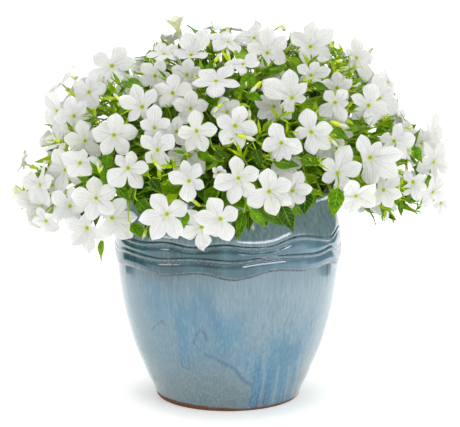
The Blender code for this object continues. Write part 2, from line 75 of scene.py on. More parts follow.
# Sheet elevation: the front is drawn 1:1 on a sheet 460 mm wide and 427 mm high, seen by
# someone standing 1.9 m in front with the eye 0.55 m up. X runs right from the sheet's left
# edge and Y down from its top edge. A flower is drawn by its eye, the lean of its face
# (to the right and up), how far it sits behind the dome (mm), and the tips of its lobes.
EYE = Vector((0.0, -1.9, 0.55))
AIM = Vector((0.002, 0.0, 0.184))
FRONT_FLOWERS = [
    (114, 135, 0.0, 0.0, 0, [(117, 113), (138, 131), (128, 154), (103, 155), (90, 128)]),
    (80, 163, 0.0, 0.3, 2, [(63, 155), (84, 149), (101, 163), (93, 175), (70, 178)]),
    (96, 198, 0.0, 0.0, 4, [(94, 176), (71, 198), (93, 221), (117, 190), (114, 215)]),
    (87, 228, 0.0, -0.3, 14, [(84, 213), (65, 221), (72, 246), (90, 253), (105, 241)]),
    (142, 107, 0.0, 0.0, 0, [(133, 84), (118, 99), (129, 122), (146, 118), (154, 88)]),
    (172.5, 93, 0.0, 0.1, 6, [(174, 73), (194, 88), (180, 107), (160, 106), (154, 86)]),
    (154.5, 128, 0.0, 0.0, 3, [(155, 104), (170, 119), (166, 137), (147, 137), (140, 122)]),
    (196.5, 131, 0.0, 0.0, 0, [(193.5, 110), (217.7, 128.6), (205, 152), (187.5, 152.5), (178, 136)]),
    (189, 181, 0.0, 0.0, 2, [(182, 159.5), (199.5, 163), (204.5, 187), (188, 202.5), (168, 173)]),
    (167, 214, 0.0, 0.0, 4, [(152, 194), (187, 204), (178, 239), (152, 240), (138, 219.5)]),
    (220.4, 219, 0.0, 0.0, 2, [(209, 197.5), (238, 210), (229, 241.5), (203, 233), (193.5, 219)]),
    (238.3, 178, 0.0, 0.0, 0, [(237, 155.5), (259, 170), (251, 200), (234, 205), (213.5, 187)]),
    (269, 191.5, 0.0, 0.0, 4, [(268, 168), (292, 182), (291, 206), (278, 215), (247, 204)]),
    (281.3, 143, 0.0, 0.0, 0, [(272, 123), (261.5, 147.5), (277.5, 164.5), (290, 160.5), (303, 153)]),
    (311, 132, 0.0, 0.0, 3, [(306, 108.5), (333, 128), (332, 150), (314.5, 155), (293.5, 133)]),
    (368.5, 105.5, 0.1, 0.0, 0, [(373, 83), (350, 97), (352, 119), (367, 128), (390, 112)]),
    (394, 141, 0.2, 0.1, 6, [(402, 123.5), (380, 137), (418, 137), (405, 160), (383, 158)]),
    (370, 157.7, 0.0, 0.0, 0, [(360, 134.5), (380, 141), (403, 161), (398, 176), (380, 184)]),
    (383.5, 190, 0.0, 0.0, 6, [(378, 173), (400, 177), (402, 197), (392, 208), (368, 204)]),
    (431, 135, 0.85, 0.1, 0, []),
    (433.5, 162, 0.75, 0.0, 0, []),
    (267.3, 53, 0.0, 0.2, 2, [(267, 27.5), (247.5, 43), (285.5, 36), (286, 62), (262, 69)]),
    (310.4, 46.7, 0.1, 0.1, 0, [(313.5, 20.5), (290.5, 33.5), (332, 31), (331, 58), (304, 66)]),
    (356.5, 58, 0.35, 0.1, 0, [(354.5, 37), (345, 50), (374, 57), (366, 82), (350, 72)]),
    (292, 97.8, 0.0, 0.0, 0, [(288, 68), (260.5, 79), (308, 84), (304, 98), (284, 114)]),
    (216, 81, 0.0, 0.75, 4, []),
    (235, 125.8, 0.0, 0.0, 4, [(243, 105), (258, 133), (239, 150.5), (224, 147), (216, 119)]),
    (112, 66, -0.1, 0.1, 0, [(94, 57), (127, 49), (139, 65), (127, 80), (92, 89)]),
    (57, 111, -0.75, -0.2, 0, []),
    (40, 185, -0.8, 0.0, 0, []),
]
# The sides, the back and the crown carry the rest: turn from the front (degrees), height
# angle above the dome's centre (degrees).
OTHER_FLOWERS = [(96, 16), (112, 42), (124, -2), (143, 22), (160, 48), (168, 2), (187, 26), (199, -6),
                 (212, 44), (226, 10), (244, 34), (254, -7), (266, 14), (182, 70)]
# Leaves that hang over the rim at the front: sheet place of the tip, and mm behind the dome.
HANGING_LEAVES = [(98, 262, 40), (116, 236, 34), (147, 240, 40), (237, 240, 52), (266, 230, 52), (292, 232, 50),
                  (334, 214, 44), (386, 222, 30)]




def perpendicular(d):
    ref = Vector((0, 0, 1)) if abs(d.z) < 0.9 else Vector((1, 0, 0))
    a = d.cross(ref).normalized()
    return a, d.cross(a).normalized()


def bezier(p0, p1, p2, p3, t):
    s = 1.0 - t
    return p0 * (s ** 3) + p1 * (3 * s * s * t) + p2 * (3 * s * t * t) + p3 * (t ** 3)


def loft(points, radii, sides, turn=0.0):
    """A closed tube along points, one radius at each."""
    verts, faces = [], []
    n = len(points)
    side = None
    for i, p in enumerate(points):
        d = (points[min(i + 1, n - 1)] - points[max(i - 1, 0)]).normalized()
        if side is None:
            side, _ = perpendicular(d)
        side = (side - d * side.dot(d)).normalized()
        up = d.cross(side).normalized()
        for k in range(sides):
            a = turn + 2 * math.pi * k / sides
            verts.append(p + side * (math.cos(a) * radii[i]) + up * (math.sin(a) * radii[i]))
    for i in range(n - 1):
        for k in range(sides):
            a, b = i * sides + k, i * sides + (k + 1) % sides
            faces.append((a, b, b + sides, a + sides))
    faces.append(tuple(reversed(range(sides))))
    faces.append(tuple((n - 1) * sides + k for k in range(sides)))
    return verts, faces


def tree(verts, faces):
    return BVHTree.FromPolygons([tuple(v) for v in verts], faces, epsilon=0.0)


def soil_top(r):
    return SOIL_EDGE + (SOIL_CROWN - SOIL_EDGE) * (1 - (r / 0.0960) ** 2)


FORWARD = (AIM - EYE).normalized()
RIGHT = FORWARD.cross(Vector((0, 0, 1))).normalized()
UPWARD = RIGHT.cross(FORWARD).normalized()


def sight(x, y):
    return (FORWARD * (AIM - EYE).length + RIGHT * ((x - 230.0) / 1000) + UPWARD * ((213.5 - y) / 1000)).normalized()


def dome_point(x, y, back):
    """Where the sight line through the sheet at x, y meets the plant's dome, then back mm on."""
    d = sight(x, y)
    k = Vector((1 / DOME_SIDE, 1 / DOME_SIDE, 1 / DOME_UP))
    o = Vector([(EYE - DOME_CENTRE)[i] * k[i] for i in range(3)])
    q = Vector([d[i] * k[i] for i in range(3)])
    a, b, c = q.dot(q), o.dot(q), o.dot(o) - 1.0
    disc = b * b - a * c
    t = (-b - math.sqrt(disc)) / a if disc > 0 else -b / a
    return EYE + d * (t + back / 1000)


def face_on(nx, ny):
    nz = math.sqrt(max(0.0, 1 - nx * nx - ny * ny))
    return (RIGHT * nx + UPWARD * ny - FORWARD * nz).normalized()


def to_plane(p, n, x, y):
    """The sheet point x, y carried along its sight line to the plane through p."""
    d = sight(x, y)
    return EYE + d * ((p - EYE).dot(n) / d.dot(n)) - p


def lobes_of(p, n, tips, radius, roll):
    """Five (angle, length) pairs in the flower's own plane, in turning order."""
    e1, e2 = perpendicular(n)
    if len(tips) == 5:
        out = []
        for x, y in tips:
            v = to_plane(p, n, x, y)
            out.append((math.atan2(v.dot(e2), v.dot(e1)) % (2 * math.pi), min(0.031, max(0.013, v.length))))
        out.sort()
        # neighbouring lobes keep at least 46 degrees between them
        for _ in range(40):
            for i in range(5):
                j = (i + 1) % 5
                gap = (out[j][0] - out[i][0]) % (2 * math.pi)
                if gap < math.radians(46):
                    push = (math.radians(46) - gap) / 2
                    out[i] = (out[i][0] - push, out[i][1])
                    out[j] = (out[j][0] + push, out[j][1])
        return out
    return [(roll + 2 * math.pi * i / 5, radius) for i in range(5)]


def corolla(p, n, lobes, grow=0.0):
    """Verts and faces of one corolla: a tube that opens in five lobes, one closed body."""
    e1, e2 = perpendicular(n)

    def at(a, r, z):
        return p + e1 * (math.cos(a) * r) + e2 * (math.sin(a) * r) + n * z

    h = PETAL_HALF + grow
    outline, mid, eye, throat, tube = [], [], [], [], []
    for k in range(5):
        a, r = lobes[k]
        a0, r0 = lobes[k - 1]
        a1, r1 = lobes[(k + 1) % 5]
        gap0 = (a - a0) % (2 * math.pi)
        gap1 = (a1 - a) % (2 * math.pi)
        s = a - gap0 / 2
        rs = 0.42 * min(r, r0) + grow
        outline += [at(s, rs, 0), at(a - min(0.36 * gap0, 0.48), 0.80 * r + grow, 0.0005),
                    at(a, r + grow, -0.0006), at(a + min(0.36 * gap1, 0.48), 0.80 * r + grow, 0.0005)]
        mid += [at(s, 0.57 * rs, h * 0.8), at(a, 0.52 * r, h + 0.0004)]
        eye.append(at(a, 0.0020 + grow, h * 0.6))
        throat.append(at(a, 0.0019 + grow, -0.0030))
        tube.append(at(a, TUBE_RADIUS + grow, -TUBE_LENGTH))
    verts = outline + mid + eye + throat + tube
    O, M = list(range(20)), list(range(20, 30))
    E, H, U = list(range(30, 35)), list(range(35, 40)), list(range(40, 45))
    faces = []
    for k in range(5):
        l = (k + 1) % 5
        m0, m1, m2 = M[2 * k], M[2 * k + 1], M[2 * l]
        o0, o1, o2, o3, o4 = O[4 * k], O[4 * k + 1], O[4 * k + 2], O[4 * k + 3], O[(4 * k + 4) % 20]
        faces += [(m0, o0, o1), (m0, o1, m1), (m1, o1, o2), (m1, o2, o3), (m1, o3, m2), (m2, o3, o4),
                  (E[k], m0, m1), (E[k], m1, m2), (E[k], m2, E[l])]
        faces += [(H[k], o1, o0), (H[k], o2, o1), (H[k], o3, o2), (H[k], o4, o3), (H[k], H[l], o4)]
        faces.append((H[k], U[k], U[l], H[l]))
    faces.append(tuple(E))
    faces.append(tuple(reversed(U)))
    return verts, faces


# ---------------------------------------------------------------- shoots
class Shoot:
    def __init__(self, index, turn, lift, foot_radius, reach):
        self.name = "shoot_%02d" % (index + 1)
        out = Vector((math.sin(turn), -math.cos(turn), 0))
        foot = out * foot_radius
        foot.z = soil_top(foot_radius) + GAP + 0.0004
        hub = DOME_CENTRE + out * (reach * math.cos(lift)) + Vector((0, 0, 1)) * (0.035 + reach * math.sin(lift))
        rise = foot + Vector((0, 0, 0.045)) + out * 0.006
        bend = hub - (out * math.cos(lift) + Vector((0, 0, 1)) * (math.sin(lift) + 0.25)) * 0.03
        self.curve = (foot, rise, bend, hub)
        pts = [bezier(*self.curve, t / 6) for t in range(7)]
        self.parts = [loft(pts, [STEM_RADIUS * (1 - 0.06 * i) for i in range(7)], 6, 0.2)]
        self.out, self.hub = out, hub
        self.branches = []
        self.kinds = []
        self.leaves = []

    def at(self, t):
        return bezier(*self.curve, t)


def make_shoots():
    shoots = []
    for i in range(9):
        turn = math.radians(40 * i)
        shoots.append(Shoot(i, turn, math.radians(18), 0.044, 0.100))
    for i in range(3):
        turn = math.radians(60 + 120 * i)
        shoots.append(Shoot(9 + i, turn, math.radians(62), 0.018, 0.100))
    return shoots


class Space:
    """What already stands where, so that nothing new is put through it."""

    def __init__(self):
        self.items = []

    def add(self, owner, verts, faces):
        lo = Vector([min(v[i] for v in verts) for i in range(3)])
        hi = Vector([max(v[i] for v in verts) for i in range(3)])
        self.items.append((owner, tree(verts, faces), lo, hi))

    def clear(self, owner, verts, faces, also=()):
        lo = Vector([min(v[i] for v in verts) for i in range(3)])
        hi = Vector([max(v[i] for v in verts) for i in range(3)])
        mine = None
        for who, other, l, h in self.items:
            if who == owner or who in also:
                continue
            if any(lo[i] > h[i] or hi[i] < l[i] for i in range(3)):
                continue
            if mine is None:
                mine = tree(verts, faces)
            if mine.overlap(other):
                return False
        return True


def branch_points(start, aim, toward, sag):
    """A side branch: leaves the stem, arches and meets the calyx along the flower's axis."""
    span = (aim - start).length
    p1 = start + Vector((0, 0, 1)) * (span * 0.25) + (aim - start) * 0.15 + sag
    p2 = aim + toward * min(0.030, span * 0.40)
    return [bezier(start, p1, p2, aim, i / 4) for i in range(5)]


def grow_branch(shoot, space, aim, axis, flower, rng):
    """Loft with a calyx at its end whose mouth stands GAP off the corolla's tube."""
    end = aim
    for attempt in range(34):
        t = [0.80, 0.95, 0.65, 0.5, 0.9, 0.72, 0.58, 1.0][attempt % 8] if attempt < 24 else rng.uniform(0.45, 1.0)
        t = min(t + rng.uniform(-0.02, 0.02), 0.95)
        start = shoot.at(t)
        sag = Vector((0, 0, 0)) if attempt < 8 else Vector((rng.uniform(-1, 1), rng.uniform(-1, 1), rng.uniform(-0.6, 1))) * 0.03
        neck = end - axis * 0.0055
        pts = branch_points(start, neck, -axis, sag)
        pts = pts + [end - axis * 0.0030, end]
        rad = [BRANCH_RADIUS * 0.95] + [BRANCH_RADIUS] * 4 + [CALYX_RADIUS, CALYX_RADIUS * 0.85]
        fat = loft(pts, [r + 0.0005 for r in rad[:-1]] + [rad[-1]], 4)
        if space.clear(shoot.name, *fat, also=(flower,)) and above_rim(pts):
            part = loft(pts, rad, 4)
            shoot.parts.append(part)
            space.add(shoot.name, *fat)
            shoot.branches.append(pts)
            shoot.kinds.append("flower")
            return True
    return False


def above_rim(pts):
    """True where the curve keeps out of the pot wall and the mix."""
    fine = []
    for a, b in zip(pts[:-1], pts[1:]):
        fine += [a.lerp(b, i / 6) for i in range(6)]
    for p in fine:
        r = math.hypot(p.x, p.y)
        if 0.086 < r < 0.120 and p.z < 0.2175:
            return False
        if r <= 0.086 and p.z < 0.1945:
            return False
    return True


def leaf(base, d, n, length, width, droop=0.15):
    """A petiole and an ovate blade as one diamond loft that narrows to a point."""
    side = d.cross(n).normalized()
    n = side.cross(d).normalized()
    stations = [(0.0, 0.00045, 0.00045), (0.38, width / 2, 0.0006), (0.66, width * 0.40, 0.0005)]
    verts, faces = [], []
    for s, w, h in stations:
        c = base + d * (length * s) - n * (droop * length * s * s)
        verts += [c - side * w, c + n * h, c + side * w, c - n * h]
    tip = base + d * length - n * (droop * length)
    verts.append(tip)
    last = 4 * (len(stations) - 1)
    for i in range(len(stations) - 1):
        for k in range(4):
            a, b = i * 4 + k, i * 4 + (k + 1) % 4
            faces.append((a, b, b + 4, a + 4))
    for k in range(4):
        faces.append((last + k, last + (k + 1) % 4, last + 4))
    faces.append((3, 2, 1, 0))
    return verts, faces


def try_leaf(shoot, space, base, d, n, length):
    verts, faces = leaf(base, d, n, length, length * 0.46)
    count = len(verts)
    test = [v + n * 0.0006 for v in verts] + [v - n * 0.0006 for v in verts]
    both = faces + [tuple(k + count for k in f) for f in faces]
    if space.clear(shoot.name, test, both) and above_rim([base, verts[-1]]) and inside_dome(verts):
        shoot.parts.append((verts, faces))
        space.add(shoot.name, test, both)
        shoot.leaves.append((base, d, n, length))
        return True
    return False


def leaf_at(shoot, space, base, along, rng):
    a, b = perpendicular(along)
    outward = (base - DOME_CENTRE).normalized()
    for attempt in range(10):
        g = rng.uniform(0, 2 * math.pi)
        d = (a * math.cos(g) + b * math.sin(g) + outward * 0.9 + along * 0.3).normalized()
        n = (outward - d * outward.dot(d) + Vector((0, 0, 0.3))).normalized()
        if try_leaf(shoot, space, base, d, n, rng.uniform(0.028, 0.042)):
            return 1
    return 0


def grow_twig(shoot, space, aim, rng, leaf_tip=None):
    """A flowerless side twig that ends in a bud, or in a leaf that hangs to leaf_tip."""
    for attempt in range(30):
        t = rng.uniform(0.45, 0.95)
        start = shoot.at(t)
        sag = Vector((rng.uniform(-1, 1), rng.uniform(-1, 1), rng.uniform(-0.3, 1))) * (0.02 if attempt else 0.0)
        inward = (start - aim).normalized() + Vector((0, 0, 0.5))
        pts = branch_points(start, aim, inward.normalized(), sag)
        rad = [BRANCH_RADIUS * 0.95] + [BRANCH_RADIUS] * 3 + [BRANCH_RADIUS * 0.8]
        if leaf_tip is None:
            d = (pts[-1] - pts[-2]).normalized()
            pts = pts + [pts[-1] + d * 0.006, pts[-1] + d * 0.014]
            rad = rad + [0.0022, 0.0007]
        fat = loft(pts, [r + 0.0005 for r in rad], 4)
        if not (space.clear(shoot.name, *fat) and above_rim(pts) and inside_dome(pts)):
            continue
        if leaf_tip is not None:
            d = (leaf_tip - pts[-1])
            base = pts[-1] - (pts[-1] - pts[-2]).normalized() * 0.001
            out = Vector((pts[-1].x, pts[-1].y, 0)).normalized()
            n = (out - d.normalized() * out.dot(d.normalized())).normalized()
            if not try_leaf(shoot, space, base, d.normalized(), n, d.length):
                continue
        shoot.parts.append(loft(pts, rad, 4))
        space.add(shoot.name, *fat)
        shoot.branches.append(pts)
        shoot.kinds.append("bud" if leaf_tip is None else "leaf")
        return True
    return False


def grow_leaves(shoot, space, rng):
    count = 0
    for t in (0.62, 0.78, 0.93):
        along = (shoot.at(t + 0.02) - shoot.at(t - 0.02)).normalized()
        count += leaf_at(shoot, space, shoot.at(t), along, rng)
    crowded = len(shoot.branches) > 6
    for rank, pts in enumerate(shoot.branches):
        if crowded and rank % 3 == 2:
            continue
        for share in ((0.62,) if crowded else (0.45, 0.80)):
            i = int(share * 4)
            base = pts[i].lerp(pts[i + 1], share * 4 - i)
            count += leaf_at(shoot, space, base, (pts[i + 1] - pts[i]).normalized(), rng)
    return count


def inside_dome(verts):
    for v in verts:
        q = v - DOME_CENTRE
        if (q.x / 0.219) ** 2 + (q.y / 0.219) ** 2 + (q.z / 0.180) ** 2 > 1.0:
            return False
    return True


def grow_plant():
    """The plant's skeleton, by the same rules and the same seed as the CAD."""
    rng = random.Random(SEED)
    space = Space()
    shoots = make_shoots()
    for s in shoots:
        pts = [s.at(t / 6) for t in range(7)]
        space.add(s.name, *loft(pts, [STEM_RADIUS + 0.0006] * 7, 6, 0.2))

    flowers = []
    wanted = []
    for x, y, nx, ny, back, tips in FRONT_FLOWERS:
        wanted.append((x, y, nx, ny, back, tips, None))
    for turn, height in OTHER_FLOWERS:
        wanted.append((0, 0, 0, 0, 0, [], (math.radians(turn), math.radians(height))))
    for x, y, nx, ny, back, tips, ring in wanted:
        name = "flower_%02d" % (len(flowers) + 1)
        for more in range(0, 40, 3):
            if ring:
                t, e = ring
                n0 = Vector((math.sin(t) * math.cos(e), -math.cos(t) * math.cos(e), math.sin(e)))
                depth = DOME_SIDE if n0.y < 0 else DOME_BACK
                p = DOME_CENTRE + Vector((n0.x * DOME_SIDE, n0.y * depth, n0.z * DOME_UP)) - n0 * (more / 1000 + 0.002)
                n = (n0 + Vector((0, 0, 0.15))).normalized()
            else:
                p = dome_point(x, y, back + more)
                n = face_on(nx, ny)
                outward = (p - DOME_CENTRE).normalized()
                if tips:
                    n = (n + outward * 0.25).normalized()
            lobes = lobes_of(p, n, tips, 0.0235, rng.uniform(0, 1.2) if more == 0 else 0.5)
            fat = corolla(p, n, lobes, 0.0005)
            if space.clear(name, *fat):
                space.add(name, *fat)
                flowers.append((name, p, n, lobes))
                break

    placed = []
    for name, p, n, lobes in flowers:
        aim = p - n * (TUBE_LENGTH + GAP)
        order = sorted(shoots, key=lambda s: (s.hub - p).length)
        for s in order[:6]:
            if grow_branch(s, space, aim, n, name, rng):
                placed.append((name, p, n, lobes))
                break
    hung = 0
    for x, y, back in HANGING_LEAVES:
        tip = dome_point(x, y, back)
        top = tip + Vector((0, 0, 0.024)) - Vector((tip.x, tip.y, 0)).normalized() * 0.006
        order = sorted(shoots, key=lambda s: (s.hub - top).length)
        hung += any(grow_twig(s, space, top, rng, tip) for s in order[:3])
    twigs = 0
    for s in shoots:
        turn = math.atan2(s.out.x, -s.out.y)
        while len(s.branches) < 4:
            ok = False
            for attempt in range(12):
                t = turn + math.radians(rng.uniform(-26, 26))
                e = math.radians(rng.uniform(-12, 38) if s.hub.z < 0.3 else rng.uniform(40, 80))
                d = Vector((math.sin(t) * math.cos(e), -math.cos(t) * math.cos(e), math.sin(e)))
                deep = DOME_SIDE if d.y < 0 else DOME_BACK
                aim = DOME_CENTRE + Vector((d.x * DOME_SIDE, d.y * deep, d.z * DOME_UP)) * rng.uniform(0.80, 0.90)
                if grow_twig(s, space, aim, rng):
                    ok = True
                    twigs += 1
                    break
            if not ok:
                break
    leaves = sum(grow_leaves(s, space, rng) for s in shoots)

    return shoots, placed, space


# =====================================================================================
# 2. Camera, floor and light
# =====================================================================================
scene = bpy.context.scene
cam_data = bpy.data.cameras.new("camera")
cam = bpy.data.objects.new("camera", cam_data)
scene.collection.objects.link(cam)
cam.location = EYE
cam.rotation_mode = 'QUATERNION'
cam.rotation_quaternion = (AIM - EYE).to_track_quat('-Z', 'Y')
cam_data.sensor_width = 36.0
cam_data.lens = 36.0 * 1935.0 / 460.0
cam_data.clip_start = 0.05
cam_data.clip_end = 60.0
scene.camera = cam
scene.view_settings.view_transform = 'Standard'
scene.view_settings.look = 'None'

FRONT_LIGHT, BACK_LIGHT = 0.54, 1.5        # the studio's walls: plain in front, a bright sweep behind

world = bpy.data.worlds.new("studio")
scene.world = world
world.use_nodes = True
wt = world.node_tree
ground = wt.nodes["Background"]
ground.inputs["Color"].default_value = (1.0, 1.0, 1.0, 1.0)
coord = wt.nodes.new('ShaderNodeTexCoord')
split = wt.nodes.new('ShaderNodeSeparateXYZ')
wt.links.new(coord.outputs["Generated"], split.inputs[0])
fade = wt.nodes.new('ShaderNodeMapRange')
fade.interpolation_type = 'SMOOTHSTEP'
wt.links.new(split.outputs["Y"], fade.inputs[0])
for k, val in zip((1, 2, 3, 4), (0.05, 0.85, FRONT_LIGHT, BACK_LIGHT)):
    fade.inputs[k].default_value = val
path = wt.nodes.new('ShaderNodeLightPath')
seen = wt.nodes.new('ShaderNodeMix')
seen.data_type = 'FLOAT'
wt.links.new(path.outputs["Is Camera Ray"], seen.inputs[0])
wt.links.new(fade.outputs[0], seen.inputs[2])
seen.inputs[3].default_value = 1.05
wt.links.new(seen.outputs[0], ground.inputs["Strength"])


def softbox(name, where, look_at, size, power, colour=(1, 1, 1)):
    li = bpy.data.lights.new(name, 'AREA')
    li.shape = 'RECTANGLE'
    li.size, li.size_y = size
    li.energy = power
    li.color = colour
    o = bpy.data.objects.new(name, li)
    scene.collection.objects.link(o)
    o.location = where
    o.rotation_mode = 'QUATERNION'
    o.rotation_quaternion = (Vector(look_at) - Vector(where)).to_track_quat('-Z', 'Y')
    o.visible_camera = False
    return o


softbox("key", (1.05, -1.40, 1.55), (0, 0, 0.2), (1.35, 0.26), 10.0)
# a long low strip and a small window, for the streaks on the shoulder of the pot: only gloss sees them
for name, where, size, power in (("strip", (0.88, -1.21, 0.43), (1.45, 0.28), 11.0), ("window", (-1.32, -0.70, 0.42), (0.50, 0.16), 1.4)):
    softbox(name, where, (0, 0, 0.18), size, power).visible_diffuse = False
softbox("fill", (-1.8, -1.2, 1.0), (0, 0, 0.2), (1.3, 1.3), 4.3)
# white reflectors and grey flags behind the shoulders of the pot: only gloss sees them
for side in (-1, 1):
    o = softbox("reflector_%s" % ("left" if side < 0 else "right"), (side * 0.43, 0.345, 0.36), (side * 0.107, -0.039, 0.36),
                (0.18, 0.72), 0.09 if side < 0 else 0.17)
    o.visible_diffuse = False
    card = bpy.data.meshes.new("flag")
    x0, y0, x1, y1 = side * 0.4725, 0.287, side * 0.60, -0.10
    card.from_pydata([(x0, y0, 0.0), (x1, y1, 0.0), (x1, y1, 0.62), (x0, y0, 0.62)], [], [(0, 1, 2, 3)])
    grey = bpy.data.materials.new("flag_grey")
    grey.use_nodes = True
    grey.node_tree.nodes["Principled BSDF"].inputs["Base Color"].default_value = (0.10, 0.11, 0.12, 1)
    grey.node_tree.nodes["Principled BSDF"].inputs["Roughness"].default_value = 0.9
    card.materials.append(grey)
    flag = bpy.data.objects.new("flag_%s" % ("left" if side < 0 else "right"), card)
    scene.collection.objects.link(flag)
    flag.visible_camera = flag.visible_diffuse = flag.visible_shadow = flag.visible_transmission = False
softbox("top", (-0.2, 0.0, 2.2), (0, 0, 0.2), (1.4, 1.4), 14.0)


# =====================================================================================
# 3. Node helpers
# =====================================================================================
class Mat:
    def __init__(self, name, roughness=0.5):
        self.m = bpy.data.materials.new(name)
        self.m.use_nodes = True
        self.nt = self.m.node_tree
        self.b = self.nt.nodes["Principled BSDF"]
        self.b.inputs["Roughness"].default_value = roughness
        self.b.inputs["Metallic"].default_value = 0.0

    def node(self, kind, **inputs):
        n = self.nt.nodes.new(kind)
        for k, v in inputs.items():
            key = k.replace("_", " ") if k in n.inputs or k.replace("_", " ") in n.inputs else k
            self.put(n.inputs[key if key in n.inputs else k], v)
        return n

    def put(self, socket, v):
        if isinstance(v, bpy.types.NodeSocket):
            self.nt.links.new(v, socket)
        elif v is not None:
            socket.default_value = v

    def math(self, op, a, b=None, clamp=False):
        n = self.nt.nodes.new('ShaderNodeMath')
        n.operation = op
        n.use_clamp = clamp
        self.put(n.inputs[0], a)
        if b is not None:
            self.put(n.inputs[1], b)
        return n.outputs[0]

    def mix(self, fac, a, b, mode='MIX'):
        n = self.nt.nodes.new('ShaderNodeMix')
        n.data_type = 'RGBA'
        n.blend_type = mode
        n.clamp_factor = True
        self.put(n.inputs[0], fac)
        for s, v in ((n.inputs[6], a), (n.inputs[7], b)):
            if isinstance(v, bpy.types.NodeSocket):
                self.nt.links.new(v, s)
            else:
                s.default_value = (*v, 1.0) if len(v) == 3 else v
        return n.outputs[2]

    def ramp(self, fac, stops, mode='LINEAR'):
        n = self.nt.nodes.new('ShaderNodeValToRGB')
        n.color_ramp.interpolation = mode
        els = n.color_ramp.elements
        while len(els) < len(stops):
            els.new(0.5)
        for e, (pos, c) in zip(els, stops):
            e.position = pos
            e.color = (c, c, c, 1.0) if isinstance(c, (int, float)) else (*c, 1.0)
        self.put(n.inputs[0], fac)
        return n.outputs[0]

    def smooth(self, x, lo, hi):
        n = self.nt.nodes.new('ShaderNodeMapRange')
        n.interpolation_type = 'SMOOTHSTEP'
        self.put(n.inputs[0], x)
        n.inputs[1].default_value, n.inputs[2].default_value = lo, hi
        n.inputs[3].default_value, n.inputs[4].default_value = 0.0, 1.0
        return n.outputs[0]

    def noise(self, vector, scale, detail=2.0, rough=0.5, distortion=0.0):
        n = self.nt.nodes.new('ShaderNodeTexNoise')
        self.put(n.inputs["Vector"], vector)
        n.inputs["Scale"].default_value = scale
        n.inputs["Detail"].default_value = detail
        n.inputs["Roughness"].default_value = rough
        n.inputs["Distortion"].default_value = distortion
        return n.outputs[0]

    def voronoi(self, vector, scale, feature='F1', output=0):
        n = self.nt.nodes.new('ShaderNodeTexVoronoi')
        n.feature = feature
        self.put(n.inputs["Vector"], vector)
        n.inputs["Scale"].default_value = scale
        return n.outputs[output]

    def place(self, scale=(1, 1, 1)):
        """Position in the object's own frame, in metres, stretched by scale."""
        c = self.nt.nodes.new('ShaderNodeTexCoord')
        n = self.nt.nodes.new('ShaderNodeMapping')
        n.inputs["Scale"].default_value = scale
        self.nt.links.new(c.outputs["Object"], n.inputs["Vector"])
        return n.outputs[0]

    def uv(self, name="UVMap"):
        n = self.nt.nodes.new('ShaderNodeUVMap')
        n.uv_map = name
        s = self.nt.nodes.new('ShaderNodeSeparateXYZ')
        self.nt.links.new(n.outputs[0], s.inputs[0])
        return n.outputs[0], s.outputs[0], s.outputs[1]

    def attr(self, name):
        n = self.nt.nodes.new('ShaderNodeAttribute')
        n.attribute_name = name
        return n.outputs["Fac"]

    def bump(self, height, strength, distance, base=None):
        n = self.nt.nodes.new('ShaderNodeBump')
        n.inputs["Strength"].default_value = strength
        n.inputs["Distance"].default_value = distance
        self.put(n.inputs["Height"], height)
        if base is not None:
            self.nt.links.new(base, n.inputs["Normal"])
        return n.outputs[0]

    def set(self, name, v):
        self.put(self.b.inputs[name], v)


def lin(r, g, b):
    """An sRGB colour given in 0-255, as linear values."""
    return tuple((c / 255 / 12.92) if c / 255 <= 0.04045 else ((c / 255 + 0.055) / 1.055) ** 2.4 for c in (r, g, b))


# =====================================================================================
# 4. Mesh helpers
# =====================================================================================
class Build:
    """Collects closed shapes, with a UV and a material slot on every face, in one mesh."""

    def __init__(self):
        self.v, self.f, self.uv, self.m = [], [], [], []

    def add(self, verts, faces, uvs, slot=0):
        base = len(self.v)
        self.v.extend(verts)
        for i, f in enumerate(faces):
            self.f.append(tuple(k + base for k in f))
            self.uv.append(uvs[i])
            self.m.append(slot if isinstance(slot, int) else slot[i])

    def make(self, name, mats, smooth=50.0, attributes=None):
        me = bpy.data.meshes.new(name)
        me.from_pydata([tuple(v) for v in self.v], [], self.f)
        for m in mats:
            me.materials.append(m.m)
        me.polygons.foreach_set("material_index", self.m)
        layer = me.uv_layers.new(name="UVMap")
        flat = [c for face in self.uv for u in face for c in u]
        layer.data.foreach_set("uv", flat)
        for key, values in (attributes or {}).items():
            a = me.attributes.new(key, 'FLOAT', 'POINT')
            a.data.foreach_set("value", values)
        me.shade_smooth()
        if smooth is not None:
            me.set_sharp_from_angle(angle=math.radians(smooth))
        me.update()
        o = bpy.data.objects.new(name, me)
        scene.collection.objects.link(o)
        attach(o, "root")
        return o


def catmull(points, per=4):
    out = []
    n = len(points)
    for i in range(n - 1):
        p0, p1, p2, p3 = points[max(i - 1, 0)], points[i], points[i + 1], points[min(i + 2, n - 1)]
        for k in range(per):
            t = k / per
            out.append(0.5 * ((2 * p1) + (p2 - p0) * t + (2 * p0 - 5 * p1 + 4 * p2 - p3) * t * t
                              + (3 * p1 - p0 - 3 * p2 + p3) * t ** 3))
    out.append(points[-1].copy())
    return out


def add_tube(build, points, radii, sides=7, slot=0, ribs=0.0, v0=0.0, v1=1.0):
    """A closed round tube. radii: one for each point."""
    verts, faces = loft(points, radii, sides)
    if ribs:
        for i, p in enumerate(points):
            for k in range(sides):
                if k % 2:
                    j = i * sides + k
                    verts[j] = p + (verts[j] - p) * (1 - ribs)
    n = len(points)
    uvs = []
    for f in faces:
        if len(f) == 4 and sides != 4 or (sides == 4 and len(uvs) < (n - 1) * sides):
            i, k = divmod(f[0], sides)
            u0, u1 = k / sides, (k + 1) / sides
            a, b = v0 + (v1 - v0) * i / (n - 1), v0 + (v1 - v0) * (i + 1) / (n - 1)
            uvs.append([(u0, a), (u1, a), (u1, b), (u0, b)])
        else:
            end = v1 if f[0] >= (n - 1) * sides else v0
            uvs.append([(0.5, end)] * len(f))
    build.add(verts, faces, uvs, slot)


